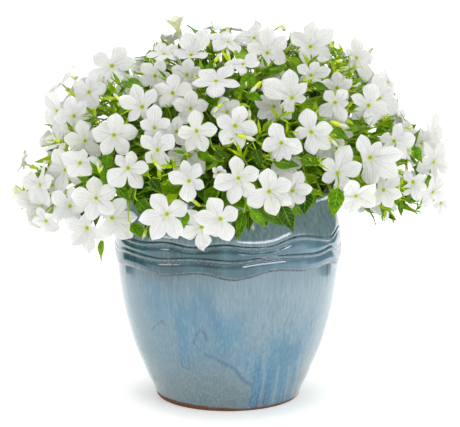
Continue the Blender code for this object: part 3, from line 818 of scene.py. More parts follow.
# ---------------------------------------------------------------- corolla
LOBE_T = [-1.0, -0.80, -0.50, -0.20, 0.0, 0.20, 0.50, 0.80, 1.0]
LOBE_S = [0.055, 0.09, 0.15, 0.22, 0.31, 0.41, 0.52, 0.63, 0.73, 0.82, 0.90, 0.96, 1.0]
FUSED = 5                       # the first rows of neighbouring lobes are one sheet
HALF_WIDTH = [0, 0, 0, 0.150, 0.215, 0.280, 0.332, 0.358, 0.352, 0.312, 0.242, 0.152, 0.030]
EDGE_BACK = [0, 0, 0, 0.015, 0.022, 0.030, 0.040, 0.052, 0.062, 0.066, 0.060, 0.045, 0.016]


def add_corolla(build, p, n, lobes, rng, openness=1.0, tube=TUBE_LENGTH, lift=None, squeeze=1.0):
    """Five veined lobes joined at the throat, a throat with stamens, and a narrow tube."""
    e1, e2 = perpendicular(n)
    nt, ns = len(LOBE_T), len(LOBE_S)
    per = nt - 1
    ring = 5 * per
    mean = sum(r for _, r in lobes) / 5
    top, index = [], {}
    throat_r = 0.00155
    pitch = [rng.gauss(0.05, 0.13) for _ in range(5)] if lift is None else [lift + rng.gauss(0, 0.05) for _ in range(5)]
    roll = [rng.gauss(0.0, 0.36) for _ in range(5)]
    cup = [rng.gauss(-0.01, 0.055) for _ in range(5)]
    crease = [rng.uniform(0.036, 0.080) for _ in range(5)]
    wide = [rng.uniform(0.90, 1.10) * squeeze for _ in range(5)]
    curl = [rng.uniform(-0.14, 0.34) for _ in range(5)]
    wave = [(rng.uniform(0, 6.28), rng.uniform(0.014, 0.040), rng.uniform(4.0, 9.0)) for _ in range(5)]
    twist = rng.choice((-1, 1))
    side_bend = [rng.uniform(-0.05, 0.05) for _ in range(5)]

    def local(k, i, j):
        a, L = lobes[k]
        prev_gap = (a - lobes[k - 1][0]) % (2 * math.pi)
        next_gap = (lobes[(k + 1) % 5][0] - a) % (2 * math.pi)
        s, t = LOBE_S[i], LOBE_T[j]
        gap = prev_gap if t < 0 else next_gap
        other = lobes[k - 1][1] if t < 0 else lobes[(k + 1) % 5][1]
        L_edge = L + (other - L) * 0.5 * abs(t)
        # polar sheet near the throat
        q = (s - LOBE_S[0]) / (LOBE_S[FUSED - 1] - LOBE_S[0])
        r = throat_r + (LOBE_S[FUSED - 1] * L_edge - throat_r) * q if q < 1 else s * L_edge
        ang = a + t * gap / 2
        px, py = r * math.cos(ang - a), r * math.sin(ang - a)
        # a lobe of its own further out
        w = min(1.0, max(0.0, (s - 0.26) / 0.17))
        w = w * w * (3 - 2 * w)
        x, y = px, py
        if i >= FUSED:
            room = min(1.12, max(0.78, gap / math.radians(72)))
            h = HALF_WIDTH[i] * L * wide[k] * room
            cx = L * (s - EDGE_BACK[i] * t * t + (0.015 if (i == ns - 1 and j == per // 2) else 0))
            cy = t * h + side_bend[k] * L * s * s
            x, y = px + (cx - px) * w, py + (cy - py) * w
        free = min(1.0, max(0.0, (s - 0.12) / 0.3))
        veins = math.exp(-(t / 0.16) ** 2) + 0.40 * math.exp(-((abs(t) - 0.50) / 0.12) ** 2)
        z = -crease[k] * veins * math.sin(min(1.0, s * 1.10) * math.pi)
        z += 0.030 * math.sin(math.pi * min(1, s * 1.1))
        z += -curl[k] * max(0.0, s - 0.45) ** 2 * 1.2
        z += free * wave[k][1] * math.sin(wave[k][0] + wave[k][2] * s + 2.2 * t) * abs(t)
        z += free * roll[k] * t * 0.30 * s
        z += free * twist * 0.014 * t * min(1.0, s * 2)
        z -= free * (0.030 + cup[k]) * t * t * s * 1.3
        z *= L
        # pitch the whole lobe about the throat
        pk = pitch[k]
        if i < FUSED:
            m_edge = abs(t)
            nb = pitch[k - 1] if t < 0 else pitch[(k + 1) % 5]
            pk = pk + (nb - pk) * 0.5 * m_edge
        u = x - throat_r
        x, z = throat_r + u * math.cos(pk) - z * math.sin(pk) * 0.5, u * math.sin(pk) + z * math.cos(pk)
        ca, sa = math.cos(a), math.sin(a)
        return Vector((x * ca - y * sa, x * sa + y * ca, z))

    def key(k, i, j):
        if i < FUSED:
            return ('r', i, (k * per + j) % ring)
        return ('l', k, i, j)

    edge = set()
    for k in range(5):
        for i in range(ns):
            for j in range(nt):
                c = key(k, i, j)
                if c not in index:
                    index[c] = len(top)
                    top.append(local(k, i, j))
                if (i >= FUSED - 1 and j in (0, nt - 1)) or i == ns - 1:
                    edge.add(c)
    # shared points take the mean of their two lobes' wishes
    for k in range(5):
        for i in range(FUSED):
            c = key(k, i, nt - 1)
            top[index[c]] = (local(k, i, nt - 1) + local((k + 1) % 5, i, 0)) / 2
    # the under side
    verts = list(top)
    under = {}
    for c, i in index.items():
        if c in edge:
            under[c] = i
        else:
            under[c] = len(verts)
            verts.append(top[i] - Vector((0, 0, 0.00034)))
    faces, uvs, slots = [], [], []
    for k in range(5):
        for i in range(ns - 1):
            for j in range(nt - 1):
                cs = [key(k, i, j), key(k, i + 1, j), key(k, i + 1, j + 1), key(k, i, j + 1)]
                uv = [((LOBE_T[j] + 1) / 2, LOBE_S[i]), ((LOBE_T[j] + 1) / 2, LOBE_S[i + 1]),
                      ((LOBE_T[j + 1] + 1) / 2, LOBE_S[i + 1]), ((LOBE_T[j + 1] + 1) / 2, LOBE_S[i])]
                faces.append(tuple(index[c] for c in cs))
                uvs.append(uv)
                slots.append(0)
                faces.append(tuple(under[c] for c in reversed(cs)))
                uvs.append(list(reversed(uv)))
                slots.append(0)
    # throat wall and floor
    inner = [index[('r', 0, m)] for m in range(ring)]
    outer = [under[('r', 0, m)] for m in range(ring)]
    low = []
    for m in range(ring):
        c = verts[inner[m]]
        low.append(len(verts))
        verts.append(Vector((c.x * 0.86, c.y * 0.86, -0.0007)))
    for m in range(ring):
        l = (m + 1) % ring
        faces.append((inner[m], inner[l], low[l], low[m]))
        uvs.append([(0.5, 0.03), (0.5, 0.03), (0.5, 0.0), (0.5, 0.0)])
        slots.append(1)
    faces.append(tuple(low))
    uvs.append([(0.5, 0.0)] * ring)
    slots.append(1)
    # tube: from the under ring to a ten-sided neck
    prev = outer
    for step, (rad, z) in enumerate(((0.00135, -0.0030), (0.00112, -tube * 0.60), (0.00125, -tube))):
        cur = []
        for m in range(ring):
            a = math.atan2(verts[outer[m]].y, verts[outer[m]].x)
            cur.append(len(verts))
            verts.append(Vector((rad * math.cos(a), rad * math.sin(a), z)))
        for m in range(ring):
            l = (m + 1) % ring
            faces.append((prev[l], prev[m], cur[m], cur[l]))
            v = [0.0, 0.3, 0.7, 1.0]
            uvs.append([(0.5, v[step]), (0.5, v[step]), (0.5, v[step + 1]), (0.5, v[step + 1])])
            slots.append(2)
        prev = cur
    faces.append(tuple(reversed(prev)))
    uvs.append([(0.5, 1.0)] * ring)
    slots.append(2)
    world_v = [p + e1 * v.x + e2 * v.y + n * v.z for v in verts]
    build.add(world_v, faces, uvs, slots)
    # stamens and stigma in the mouth
    for q in range(5):
        a = rng.uniform(0, 6.28) if q == 4 else q * math.pi / 2 + 0.4
        off = rng.uniform(0.0, 0.0002) if q == 4 else 0.00088
        c = p + e1 * (math.cos(a) * off) + e2 * (math.sin(a) * off) + n * (-0.0003 if q < 4 else -0.0001)
        rr = 0.00050 if q < 4 else 0.00056
        pts = [c - n * rr, c - n * rr * 0.5, c + n * rr * 0.5, c + n * rr]
        add_tube(build, pts, [rr * 0.55, rr, rr, rr * 0.5], 6, 3)


def add_trumpet(build, p, n, rng, tube=TUBE_LENGTH, size=1.0):
    """A flower that is still opening: a pleated funnel with five points on its tube."""
    e1, e2 = perpendicular(n)
    rows = [(-0.0004, 0.0015), (0.0026, 0.0020), (0.0056, 0.0031), (0.0084, 0.0046), (0.0108, 0.0062), (0.0130, 0.0079), (0.0146, 0.0095)]
    cols = 30
    verts, faces, uvs, slots = [], [], [], []

    def ring(z, r, share, inset):
        for q in range(cols):
            g = 2 * math.pi * q / cols
            star = math.cos(5 * g)
            rr = (r * (1 + (0.03 + 0.08 * share) * star) - inset) * size
            zz = (z + 0.0017 * share ** 2 * star) * size
            verts.append(p + e1 * (math.cos(g) * rr) + e2 * (math.sin(g) * rr) + n * zz)

    k = len(rows)
    for i, (z, r) in enumerate(rows):
        ring(z, r, i / (k - 1), 0.0)
    for i in range(k - 1, -1, -1):
        z, r = rows[i]
        ring(z + (0.0012 if i == 0 else 0.0), r, i / (k - 1), 0.00034)
    for i in range(2 * k - 1):
        v0, v1 = (i, i + 1) if i < k else (2 * k - 1 - i, 2 * k - 2 - i)
        for q in range(cols):
            w = (q + 1) % cols
            u0, u1 = (q / cols * 5 + 0.5) % 1.0, (q / cols * 5 + 0.5) % 1.0 + 5 / cols
            a, b = 0.15 + 0.8 * min(v0, k - 1) / (k - 1), 0.15 + 0.8 * min(v1, k - 1) / (k - 1)
            faces.append((i * cols + q, i * cols + w, (i + 1) * cols + w, (i + 1) * cols + q))
            uvs.append([(u0, a), (u1, a), (u1, b), (u0, b)])
            slots.append(4)
    faces.append(tuple(reversed(range(cols))))
    uvs.append([(0.5, 0.1)] * cols)
    slots.append(2)
    faces.append(tuple((2 * k - 1) * cols + q for q in range(cols)))
    uvs.append([(0.5, 0.1)] * cols)
    slots.append(1)
    build.add(verts, faces, uvs, slots)
    add_tube(build, [p - n * tube, p - n * (tube * 0.6), p - n * 0.003, p], [0.00125, 0.00112, 0.00125, 0.0013], 10, 2, v0=1.0, v1=0.0)


# ---------------------------------------------------------------- leaf
LEAF_T = [-1.0, -0.62, -0.26, 0.0, 0.26, 0.62, 1.0]
LEAF_S = [0.0, 0.06, 0.13, 0.22, 0.32, 0.43, 0.54, 0.65, 0.75, 0.84, 0.91, 0.96, 1.0]
LEAF_H = [0.03, 0.155, 0.285, 0.40, 0.46, 0.455, 0.40, 0.315, 0.225, 0.140, 0.080, 0.040, 0.003]
LEAF_MIDDLE = ([-1.0, -0.5, 0.0, 0.5, 1.0], [0.0, 0.10, 0.22, 0.36, 0.50, 0.64, 0.77, 0.89, 1.0],
               [0.03, 0.235, 0.40, 0.465, 0.42, 0.32, 0.205, 0.095, 0.003])


LEAF_LIGHT = ([-1.0, -0.5, 0.0, 0.5, 1.0], [0.0, 0.12, 0.30, 0.50, 0.70, 0.87, 1.0],
              [0.03, 0.27, 0.46, 0.42, 0.27, 0.115, 0.003])


def add_leaf(build, base, d, n, length, width, rng, petiole=0.16, droop=0.15, slot=0, curl=None, light=False):
    """A petiole and an ovate blade with a pointed tip, folded along its midrib."""
    leaf_t, leaf_s, leaf_h = LEAF_LIGHT if light == 1 else LEAF_MIDDLE if light == 2 else (LEAF_T, LEAF_S, LEAF_H)
    side = d.cross(n).normalized()
    n = side.cross(d).normalized()
    fold = rng.uniform(0.12, 0.34) if curl is None else curl
    twist = rng.uniform(-0.35, 0.35)
    sway = rng.uniform(-0.08, 0.08)
    ripple = rng.uniform(0.010, 0.028)
    phase = rng.uniform(0, 6.28)
    nt, ns = len(leaf_t), len(leaf_s)

    def at(s, t, h):
        along = petiole + (1 - petiole) * s
        c = base + d * (length * along) - n * (droop * length * along * along) + side * (sway * length * s * s)
        w = t * h * width
        tw = twist * s
        up = abs(w) * fold + ripple * length * 0.5 * math.sin(phase + 13 * s) * abs(t) ** 2 * (1 if t > 0 else -1)
        up -= abs(t) ** 3 * width * 0.06
        # quilting between the side veins
        up += 0.00028 * math.sin((s * 7.0 - abs(t) * 1.5) * 2 * math.pi) * (1 - abs(t)) * min(1, abs(t) * 4)
        return c + side * (w * math.cos(tw) - up * math.sin(tw)) + n * (w * math.sin(tw) + up * math.cos(tw))

    verts, idx, und = [], {}, {}
    for i in range(ns):
        for j in range(nt):
            idx[i, j] = len(verts)
            verts.append(at(leaf_s[i], leaf_t[j], leaf_h[i]))
    for i in range(ns):
        for j in range(nt):
            if j in (0, nt - 1) or i in (0, ns - 1):
                und[i, j] = idx[i, j]
            else:
                und[i, j] = len(verts)
                verts.append(verts[idx[i, j]] - n * 0.00030)
    faces, uvs = [], []
    for i in range(ns - 1):
        for j in range(nt - 1):
            q = [(i, j), (i, j + 1), (i + 1, j + 1), (i + 1, j)]
            uv = [((leaf_t[b] + 1) / 2, leaf_s[a]) for a, b in q]
            faces.append(tuple(idx[c] for c in reversed(q)))
            uvs.append(list(reversed(uv)))
            faces.append(tuple(und[c] for c in q))
            uvs.append([(u + 2.0, v) for u, v in uv])
    build.add(verts, faces, uvs, slot)
    if petiole > 0.01:
        pts = [base + d * (length * petiole * k / 3 * 1.35) - n * (droop * length * (petiole * k / 3) ** 2) for k in range(4)]
        add_tube(build, pts, [0.0008, 0.0007, 0.00065, 0.0004], 5, slot + 1)


def add_calyx(build, mouth, axis, slot=0, length=0.0085, rng=None, grip=0.0018, closed=False):
    """A ribbed green cup round the corolla's tube, with five narrow teeth."""
    a, b = perpendicular(axis)
    rows = [(-length, 0.0008), (-length * 0.86, grip * 0.86), (-length * 0.5, grip), (-length * 0.12, grip * 0.98)]
    sides = 10
    verts, faces, uvs = [], [], []
    for z, r in rows:
        for k in range(sides):
            g = 2 * math.pi * k / sides
            rr = r * (1.0 if k % 2 == 0 else 0.86)
            verts.append(mouth + axis * z + a * (math.cos(g) * rr) + b * (math.sin(g) * rr))
    # the mouth turns in to the tube, and down inside
    inside = grip * (0.74 if not closed else 0.45)
    for z, r in ((-length * 0.10, inside), (-length * 0.40, inside)):
        for k in range(sides):
            g = 2 * math.pi * k / sides
            verts.append(mouth + axis * z + a * (math.cos(g) * r) + b * (math.sin(g) * r))
    total = len(rows) + 2
    for i in range(total - 1):
        for k in range(sides):
            p, q = i * sides + k, i * sides + (k + 1) % sides
            faces.append((p, q, q + sides, p + sides))
            uvs.append([(k / sides, i / total), ((k + 1) / sides, i / total), ((k + 1) / sides, (i + 1) / total), (k / sides, (i + 1) / total)])
    faces.append(tuple(reversed(range(sides))))
    uvs.append([(0.5, 0.0)] * sides)
    faces.append(tuple((total - 1) * sides + k for k in range(sides)))
    uvs.append([(0.5, 1.0)] * sides)
    build.add(verts, faces, uvs, slot)
    for k in range(5):
        g = 2 * math.pi * (k + 0.0) / 5
        out = a * math.cos(g) + b * math.sin(g)
        root = mouth - axis * (length * 0.22) + out * (grip * 0.86)
        flare = (rng.uniform(0.1, 0.5) if rng else 0.3) if not closed else -0.18
        tip = root + axis * (length * 0.52) + out * (length * 0.5 * flare)
        mid = root.lerp(tip, 0.5) - out * (0.0002)
        add_tube(build, [root, mid, tip], [0.00062, 0.00052, 0.00014], 4, slot)


def add_bud(build, tip_base, axis, size, rng, slot_green=0, slot_white=2):
    """A closed bud: a calyx with a pointed, furled corolla."""
    add_calyx(build, tip_base, axis, slot_green, 0.0070 * size, rng, 0.0017 * size, True)
    L = 0.011 * size
    pts = [tip_base + axis * (L * k) - axis * 0.002 for k in (0.0, 0.25, 0.5, 0.75, 1.0)]
    add_tube(build, pts, [0.0010 * size, 0.0015 * size, 0.0019 * size, 0.0013 * size, 0.0003], 8, slot_white, 0.10)


# =====================================================================================
# 5. The pot
# =====================================================================================
BASE_WALL = [(0.0, 0.0722), (0.0040, 0.0737), (0.011, 0.0763), (0.0215, 0.0818), (0.032, 0.0858), (0.053, 0.0947),
             (0.074, 0.1011), (0.0946, 0.1059), (0.115, 0.1092), (0.129, 0.1112), (0.150, 0.1128), (0.176, 0.1130),
             (0.190, 0.1090), (0.2035, 0.1046), (0.213, 0.1030)]
# The three ridge lines as they run across the front of the sheet.
LINE_A = [(120, 233), (126, 238.5), (137.5, 242.8), (149.8, 244.5), (162, 244), (171, 245), (180.4, 247.6), (189.6, 249.7),
          (201.8, 249), (214, 247.4), (226.3, 246.6), (232.5, 247.4), (244.7, 249), (257, 249.5), (269.2, 248.5),
          (278.4, 246), (286, 242), (293.7, 239), (301.4, 237.8), (309, 237.8), (318, 238.6), (327.4, 239.6), (333.5, 239.4)]
LINE_B = [(120, 245.5), (127, 250.5), (137, 254.5), (150, 258.6), (162, 260.6), (171, 260.4), (183, 260), (196, 260),
          (208, 261), (220, 262.3), (232, 262.8), (245, 262), (255, 260), (268, 258.3), (280, 257), (290.5, 256.5),
          (303, 255.8), (315, 255), (324, 252), (332, 246.5)]
LINE_C = [(120, 260), (124.5, 263), (137.6, 267.5), (149.8, 272.5), (159, 275.5), (171, 275.5), (183.5, 274.5), (195.7, 273.6),
          (208, 274.5), (217, 277.2), (226, 279.5), (237, 280.3), (248, 277.6), (260, 274), (272, 270.5), (283, 269.8),
          (294, 270.4), (304, 270.4), (314, 268.3), (324, 264), (330.5, 261.2)]


def wall_at(z):
    return float(np.interp(z, [a for a, _ in BASE_WALL], [b for _, b in BASE_WALL]))


def onto_pot(x, y):
    """(turn from the front, height) where the sight line through the sheet at x, y meets the pot's wall."""
    d = sight(x, y)
    t = 1.70
    while t < 2.05:
        p = EYE + d * t
        if math.hypot(p.x, p.y) <= wall_at(p.z):
            return math.atan2(p.x, -p.y), p.z
        t += 0.0003
    return None


def ridge_generic(theta):
    w = math.cos(10 * theta - math.radians(20))
    return 0.1715 + 0.0045 * w, 0.1560 - 0.0020 * w, 0.1425 - 0.0035 * w


def ridge_tables():
    """Heights of the three lines at every degree: as drawn across the front, regular waves behind."""
    out = []
    for which, line in enumerate((LINE_A, LINE_B, LINE_C)):
        hits = sorted(h for h in (onto_pot(x, y) for x, y in line) if h)
        ts, zs = [h[0] for h in hits], [h[1] for h in hits]
        table = []
        for k in range(-180, 180):
            th = math.radians(k)
            g = ridge_generic(th)[which]
            f = float(np.interp(th, ts, zs))
            w = min(1.0, max(0.0, (abs(k) - 58) / 20))
            w = w * w * (3 - 2 * w)
            table.append(f * (1 - w) + g * w)
        table = np.array(table)
        for _ in range(2):
            table = (np.roll(table, 2) + 2 * np.roll(table, 1) + 3 * table + 2 * np.roll(table, -1) + np.roll(table, -2)) / 9
        out.append(table)
    return out


RIDGES = ridge_tables()


def ridge_at(which, theta):
    x = (math.degrees(theta) + 180) % 360
    i = int(x)
    f = x - i
    return RIDGES[which][i % 360] * (1 - f) + RIDGES[which][(i + 1) % 360] * f


def hermite(keys, zs):
    """A smooth curve through (z, r) keys that doesn't overshoot."""
    x = np.array([k[0] for k in keys])
    y = np.array([k[1] for k in keys])
    h = np.diff(x)
    s = np.diff(y) / h
    m = np.zeros(len(x))
    m[0], m[-1] = s[0], s[-1]
    for i in range(1, len(x) - 1):
        if s[i - 1] * s[i] > 0:
            w1, w2 = 2 * h[i] + h[i - 1], h[i] + 2 * h[i - 1]
            m[i] = (w1 + w2) / (w1 / s[i - 1] + w2 / s[i])
    out = []
    i = 0
    for z in zs:
        while i < len(h) - 1 and z > x[i + 1]:
            i += 1
        t = min(1.0, max(0.0, (z - x[i]) / h[i]))
        out.append((2 * t ** 3 - 3 * t ** 2 + 1) * y[i] + (t ** 3 - 2 * t ** 2 + t) * h[i] * m[i]
                   + (-2 * t ** 3 + 3 * t ** 2) * y[i + 1] + (t ** 3 - t ** 2) * h[i] * m[i + 1])
    return out


MM = 0.001


def outer_wall(theta):
    """(z, r) rows up the outside at one turn, the same number at each turn."""
    za, zb, zc = ridge_at(0, theta), ridge_at(1, theta), ridge_at(2, theta)
    half = 1.75 * MM
    bc, ab = (zb - half + zc) / 2, (za - half + zb + half) / 2
    keys = [(0.0, 0.0713), (0.0012, 0.0722), (0.0040, 0.0731), (0.011, 0.0759), (0.0215, 0.0813), (0.032, 0.0857),
            (0.053, 0.0947), (0.074, 0.1011), (0.0946, 0.1059), (0.115, 0.1092), (0.129, 0.1109),
            (zc - 2.4 * MM, 0.1117), (zc - 1.1 * MM, 0.1118), (zc - 0.3 * MM, 0.1124), (zc + 0.5 * MM, 0.1130),
            (zc + 2.2 * MM, 0.1134), (bc, 0.1139), (zb - half - 2.0 * MM, 0.1134), (zb - half - 0.7 * MM, 0.1129),
            (zb - half, 0.1131), (zb - 0.6 * MM, 0.1137), (zb + 0.6 * MM, 0.1138), (zb + half, 0.1132),
            (zb + half + 0.8 * MM, 0.1129), (zb + half + 2.2 * MM, 0.1133), (ab, 0.1138),
            (za - half - 2.0 * MM, 0.1131), (za - half - 0.7 * MM, 0.1125), (za - half, 0.1127),
            (za - 0.6 * MM, 0.1133), (za + 0.6 * MM, 0.1133), (za + half, 0.1127), (za + half + 0.8 * MM, 0.1122),
            (za + half + 2.4 * MM, 0.1123), (za + 5.5 * MM, 0.1121), (za + 8.0 * MM, 0.1115), (za + 11.0 * MM, 0.1106), (za + 14.0 * MM, 0.1096),
            (0.2035, 0.1046), (0.2062, 0.1040), (0.2085, 0.1053), (0.2103, 0.1056), (0.2118, 0.1046), (0.2127, 0.1030),
            (0.2130, 0.1010)]
    rows = []

    def span(a, b, n):
        rows.extend(a + (b - a) * i / n for i in range(n))

    span(0.0, 0.0012, 2)
    span(0.0012, 0.011, 8)
    span(0.011, 0.129, 62)
    span(0.129, zc - 2.4 * MM, 5)
    span(zc - 2.4 * MM, zc + 1.2 * MM, 10)
    span(zc + 1.2 * MM, zb - half - 2.0 * MM, 7)
    span(zb - half - 2.0 * MM, zb + half + 2.2 * MM, 18)
    span(zb + half + 2.2 * MM, za - half - 2.0 * MM, 6)
    span(za - half - 2.0 * MM, za + half + 2.4 * MM, 18)
    span(za + half + 2.4 * MM, 0.190, 8)
    span(0.190, 0.2062, 8)
    span(0.2062, 0.2130, 9)
    rows.append(0.2130)
    return list(zip(rows, hermite(keys, rows))), (za, zb, zc)


def build_pot():
    cols = 380
    inner_keys = [(0.2128, 0.0990), (0.2122, 0.0966), (0.2100, 0.0950), (0.2080, 0.0946), (0.1950, 0.0958),
                  (0.1770, 0.1030), (0.1500, 0.1044), (0.1150, 0.1000), (0.0740, 0.0918), (0.0320, 0.0770),
                  (0.0185, 0.0705), (0.0158, 0.0680), (FLOOR_TOP, 0.0650), (FLOOR_TOP, 0.040), (FLOOR_TOP, 0.0125),
                  (FLOOR_TOP - 0.0006, DRAIN_RADIUS + 0.0003), (FLOOR_TOP - 0.0014, DRAIN_RADIUS), (0.009, DRAIN_RADIUS),
                  (FOOT_LIFT + 0.001, DRAIN_RADIUS), (FOOT_LIFT, DRAIN_RADIUS + 0.001), (FOOT_LIFT, 0.035),
                  (FOOT_LIFT, FOOT_INNER_RADIUS - 0.002), (0.0008, FOOT_INNER_RADIUS - 0.0004), (0.0, FOOT_INNER_RADIUS + 0.0004),
                  (0.0, 0.0690)]
    verts, da, db, dc, inside = [], [], [], [], []
    uvs_v = []
    count = None
    for s in range(cols):
        th = 2 * math.pi * s / cols - math.pi
        wall, (za, zb, zc) = outer_wall(th)
        wob = 0.0006 * math.sin(3 * th + 1.1) + 0.0004 * math.sin(5 * th + 0.4)
        ring = []
        for z, r in wall:
            hand = wob * min(1.0, z / 0.05) * (1 - min(1.0, max(0.0, (z - 0.19) / 0.02)))
            ripple = 0.00022 * noise.noise(Vector((math.sin(th) * 5, -math.cos(th) * 5, z * 28)))
            ring.append((z, r + hand + ripple, 0.0))
        ring += [(z, r, 1.0) for z, r in inner_keys]
        count = len(ring)
        for z, r, ins in ring:
            verts.append(Vector((r * math.sin(th), -r * math.cos(th), z)))
            da.append((z - za) * 1000)
            db.append((z - zb) * 1000)
            dc.append((z - zc) * 1000)
            inside.append(ins)
            uvs_v.append(z * 1000 if ins == 0 else -500 + z * 100)
    faces, uvs = [], []
    for s in range(cols):
        t = (s + 1) % cols
        u0, u1 = s * 360.0 / cols - 180, (s + 1) * 360.0 / cols - 180
        for i in range(count):
            j = (i + 1) % count
            faces.append((s * count + i, t * count + i, t * count + j, s * count + j))
            vi, vj = uvs_v[i], uvs_v[s * count + j]
            uvs.append([(u0, uvs_v[s * count + i]), (u1, uvs_v[t * count + i]), (u1, uvs_v[t * count + j]), (u0, uvs_v[s * count + j])])
    b = Build()
    b.add(verts, faces, uvs, 0)
    o = b.make("pot_body", [glaze_material()], 40.0, {"da": da, "db": db, "dc": dc, "inside": inside})
    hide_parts("pot")
    return o


def on_wall(x, y):
    """Sheet place to (turn in degrees, height in mm) on the pot's wall."""
    h = onto_pot(x, y)
    return (math.degrees(h[0]), h[1] * 1000) if h else None


def glaze_material():
    m = Mat("glaze_blue_grey", 0.16)
    uvv, u, v = m.uv("UVMap")
    da, db, dc, inside = m.attr("da"), m.attr("db"), m.attr("dc"), m.attr("inside")

    # ---- fields of noise, in the pot's own space
    soft = m.noise(m.place((1, 1, 0.6)), 16.0, 2.0)
    runs = m.noise(m.place((1, 1, 0.035)), 560.0, 3.0, 0.62)          # thin vertical runs
    broad = m.noise(m.place((1, 1, 0.16)), 60.0, 2.0, 0.5)           # wide vertical runs
    speck = m.noise(m.place((1, 1, 0.55)), 900.0, 1.0)
    mottle = m.noise(m.place((1, 1, 0.7)), 210.0, 3.0, 0.6)

    # ---- unrolled place of each point, warped a little so that the runs aren't ruled
    warp = m.node('ShaderNodeVectorMath')
    warp.operation = 'SCALE'
    wn = m.nt.nodes.new('ShaderNodeTexNoise')
    wn.inputs["Scale"].default_value = 42.0
    wn.inputs["Detail"].default_value = 2.0
    m.nt.links.new(m.place((1, 1, 0.5)), wn.inputs["Vector"])
    sub = m.node('ShaderNodeVectorMath')
    sub.operation = 'SUBTRACT'
    m.nt.links.new(wn.outputs["Color"], sub.inputs[0])
    sub.inputs[1].default_value = (0.5, 0.5, 0.5)
    m.nt.links.new(sub.outputs[0], warp.inputs[0])
    warp.inputs["Scale"].default_value = 7.0
    add = m.node('ShaderNodeVectorMath')
    add.operation = 'ADD'
    sc = m.node('ShaderNodeVectorMath')
    sc.operation = 'MULTIPLY'
    m.nt.links.new(uvv, sc.inputs[0])
    sc.inputs[1].default_value = (1.7, 1.0, 0.0)                      # degrees to about mm of arc
    flat = m.node('ShaderNodeVectorMath')
    flat.operation = 'MULTIPLY'
    m.nt.links.new(warp.outputs[0], flat.inputs[0])
    flat.inputs[1].default_value = (1.0, 1.0, 0.0)
    m.nt.links.new(sc.outputs[0], add.inputs[0])
    m.nt.links.new(flat.outputs[0], add.inputs[1])
    where = add.outputs[0]

    def capsule(a, b, wa, wb):
        """Signed distance in mm to a run that goes from a to b, each (degrees, mm)."""
        a = Vector((a[0] * 1.7, a[1], 0))
        b = Vector((b[0] * 1.7, b[1], 0))
        ba = b - a
        pa = m.node('ShaderNodeVectorMath')
        pa.operation = 'SUBTRACT'
        m.nt.links.new(where, pa.inputs[0])
        pa.inputs[1].default_value = a
        dot = m.node('ShaderNodeVectorMath')
        dot.operation = 'DOT_PRODUCT'
        m.nt.links.new(pa.outputs[0], dot.inputs[0])
        dot.inputs[1].default_value = ba / ba.length_squared
        h = m.math('MINIMUM', m.math('MAXIMUM', dot.outputs["Value"], 0.0), 1.0)
        s = m.node('ShaderNodeVectorMath')
        s.operation = 'SCALE'
        s.inputs[0].default_value = ba
        m.nt.links.new(h, s.inputs["Scale"])
        rest = m.node('ShaderNodeVectorMath')
        rest.operation = 'DISTANCE'
        m.nt.links.new(pa.outputs[0], rest.inputs[0])
        m.nt.links.new(s.outputs[0], rest.inputs[1])
        width = m.math('MULTIPLY', h, wb - wa)
        width = m.math('ADD', width, wa)
        return m.math('SUBTRACT', rest.outputs["Value"], width)

    def patch(c, rx, ry):
        """0 in the middle of a soft oval, 1 at its edge."""
        pa = m.node('ShaderNodeVectorMath')
        pa.operation = 'SUBTRACT'
        m.nt.links.new(where, pa.inputs[0])
        pa.inputs[1].default_value = (c[0] * 1.7, c[1], 0)
        k = m.node('ShaderNodeVectorMath')
        k.operation = 'MULTIPLY'
        m.nt.links.new(pa.outputs[0], k.inputs[0])
        k.inputs[1].default_value = (1 / rx, 1 / ry, 0)
        n = m.node('ShaderNodeVectorMath')
        n.operation = 'LENGTH'
        m.nt.links.new(k.outputs[0], n.inputs[0])
        return n.outputs["Value"]

    # ---- base colour by zone
    pale = lin(150, 170, 180)
    body = m.mix(m.smooth(soft, 0.30, 0.72), lin(120, 149, 166), lin(150, 172, 184))
    upper_teal = m.mix(m.smooth(broad, 0.3, 0.7), lin(74, 110, 124), lin(104, 136, 150))
    near_c = m.math('MULTIPLY', m.smooth(dc, -26.0, 0.0), 0.75)
    # the left of the front is deeper, the right paler
    home = m.math('SUBTRACT', 1.0, m.smooth(u, 95.0, 176.0))         # lets what differs left and right meet at the back
    lean = m.math('MULTIPLY', m.smooth(u, -60.0, 30.0), home)
    body = m.mix(m.math('MULTIPLY', m.math('SUBTRACT', 1.0, lean), 0.70), body, lin(100, 136, 151))
    body = m.mix(m.math('MULTIPLY', near_c, m.math('SUBTRACT', 1.0, m.math('MULTIPLY', lean, 0.85))), body, upper_teal)
    # towards the foot the blue glaze thins to grey-green
    low = m.math('ADD', v, m.math('MULTIPLY', m.math('SUBTRACT', broad, 0.5), 60.0))
    low = m.math('SUBTRACT', 1.0, m.smooth(low, 8.0, 78.0))
    grey_green = m.mix(m.smooth(mottle, 0.3, 0.7), lin(111, 129, 133), lin(124, 142, 146))
    col = m.mix(m.math('MULTIPLY', low, 0.85), body, grey_green)

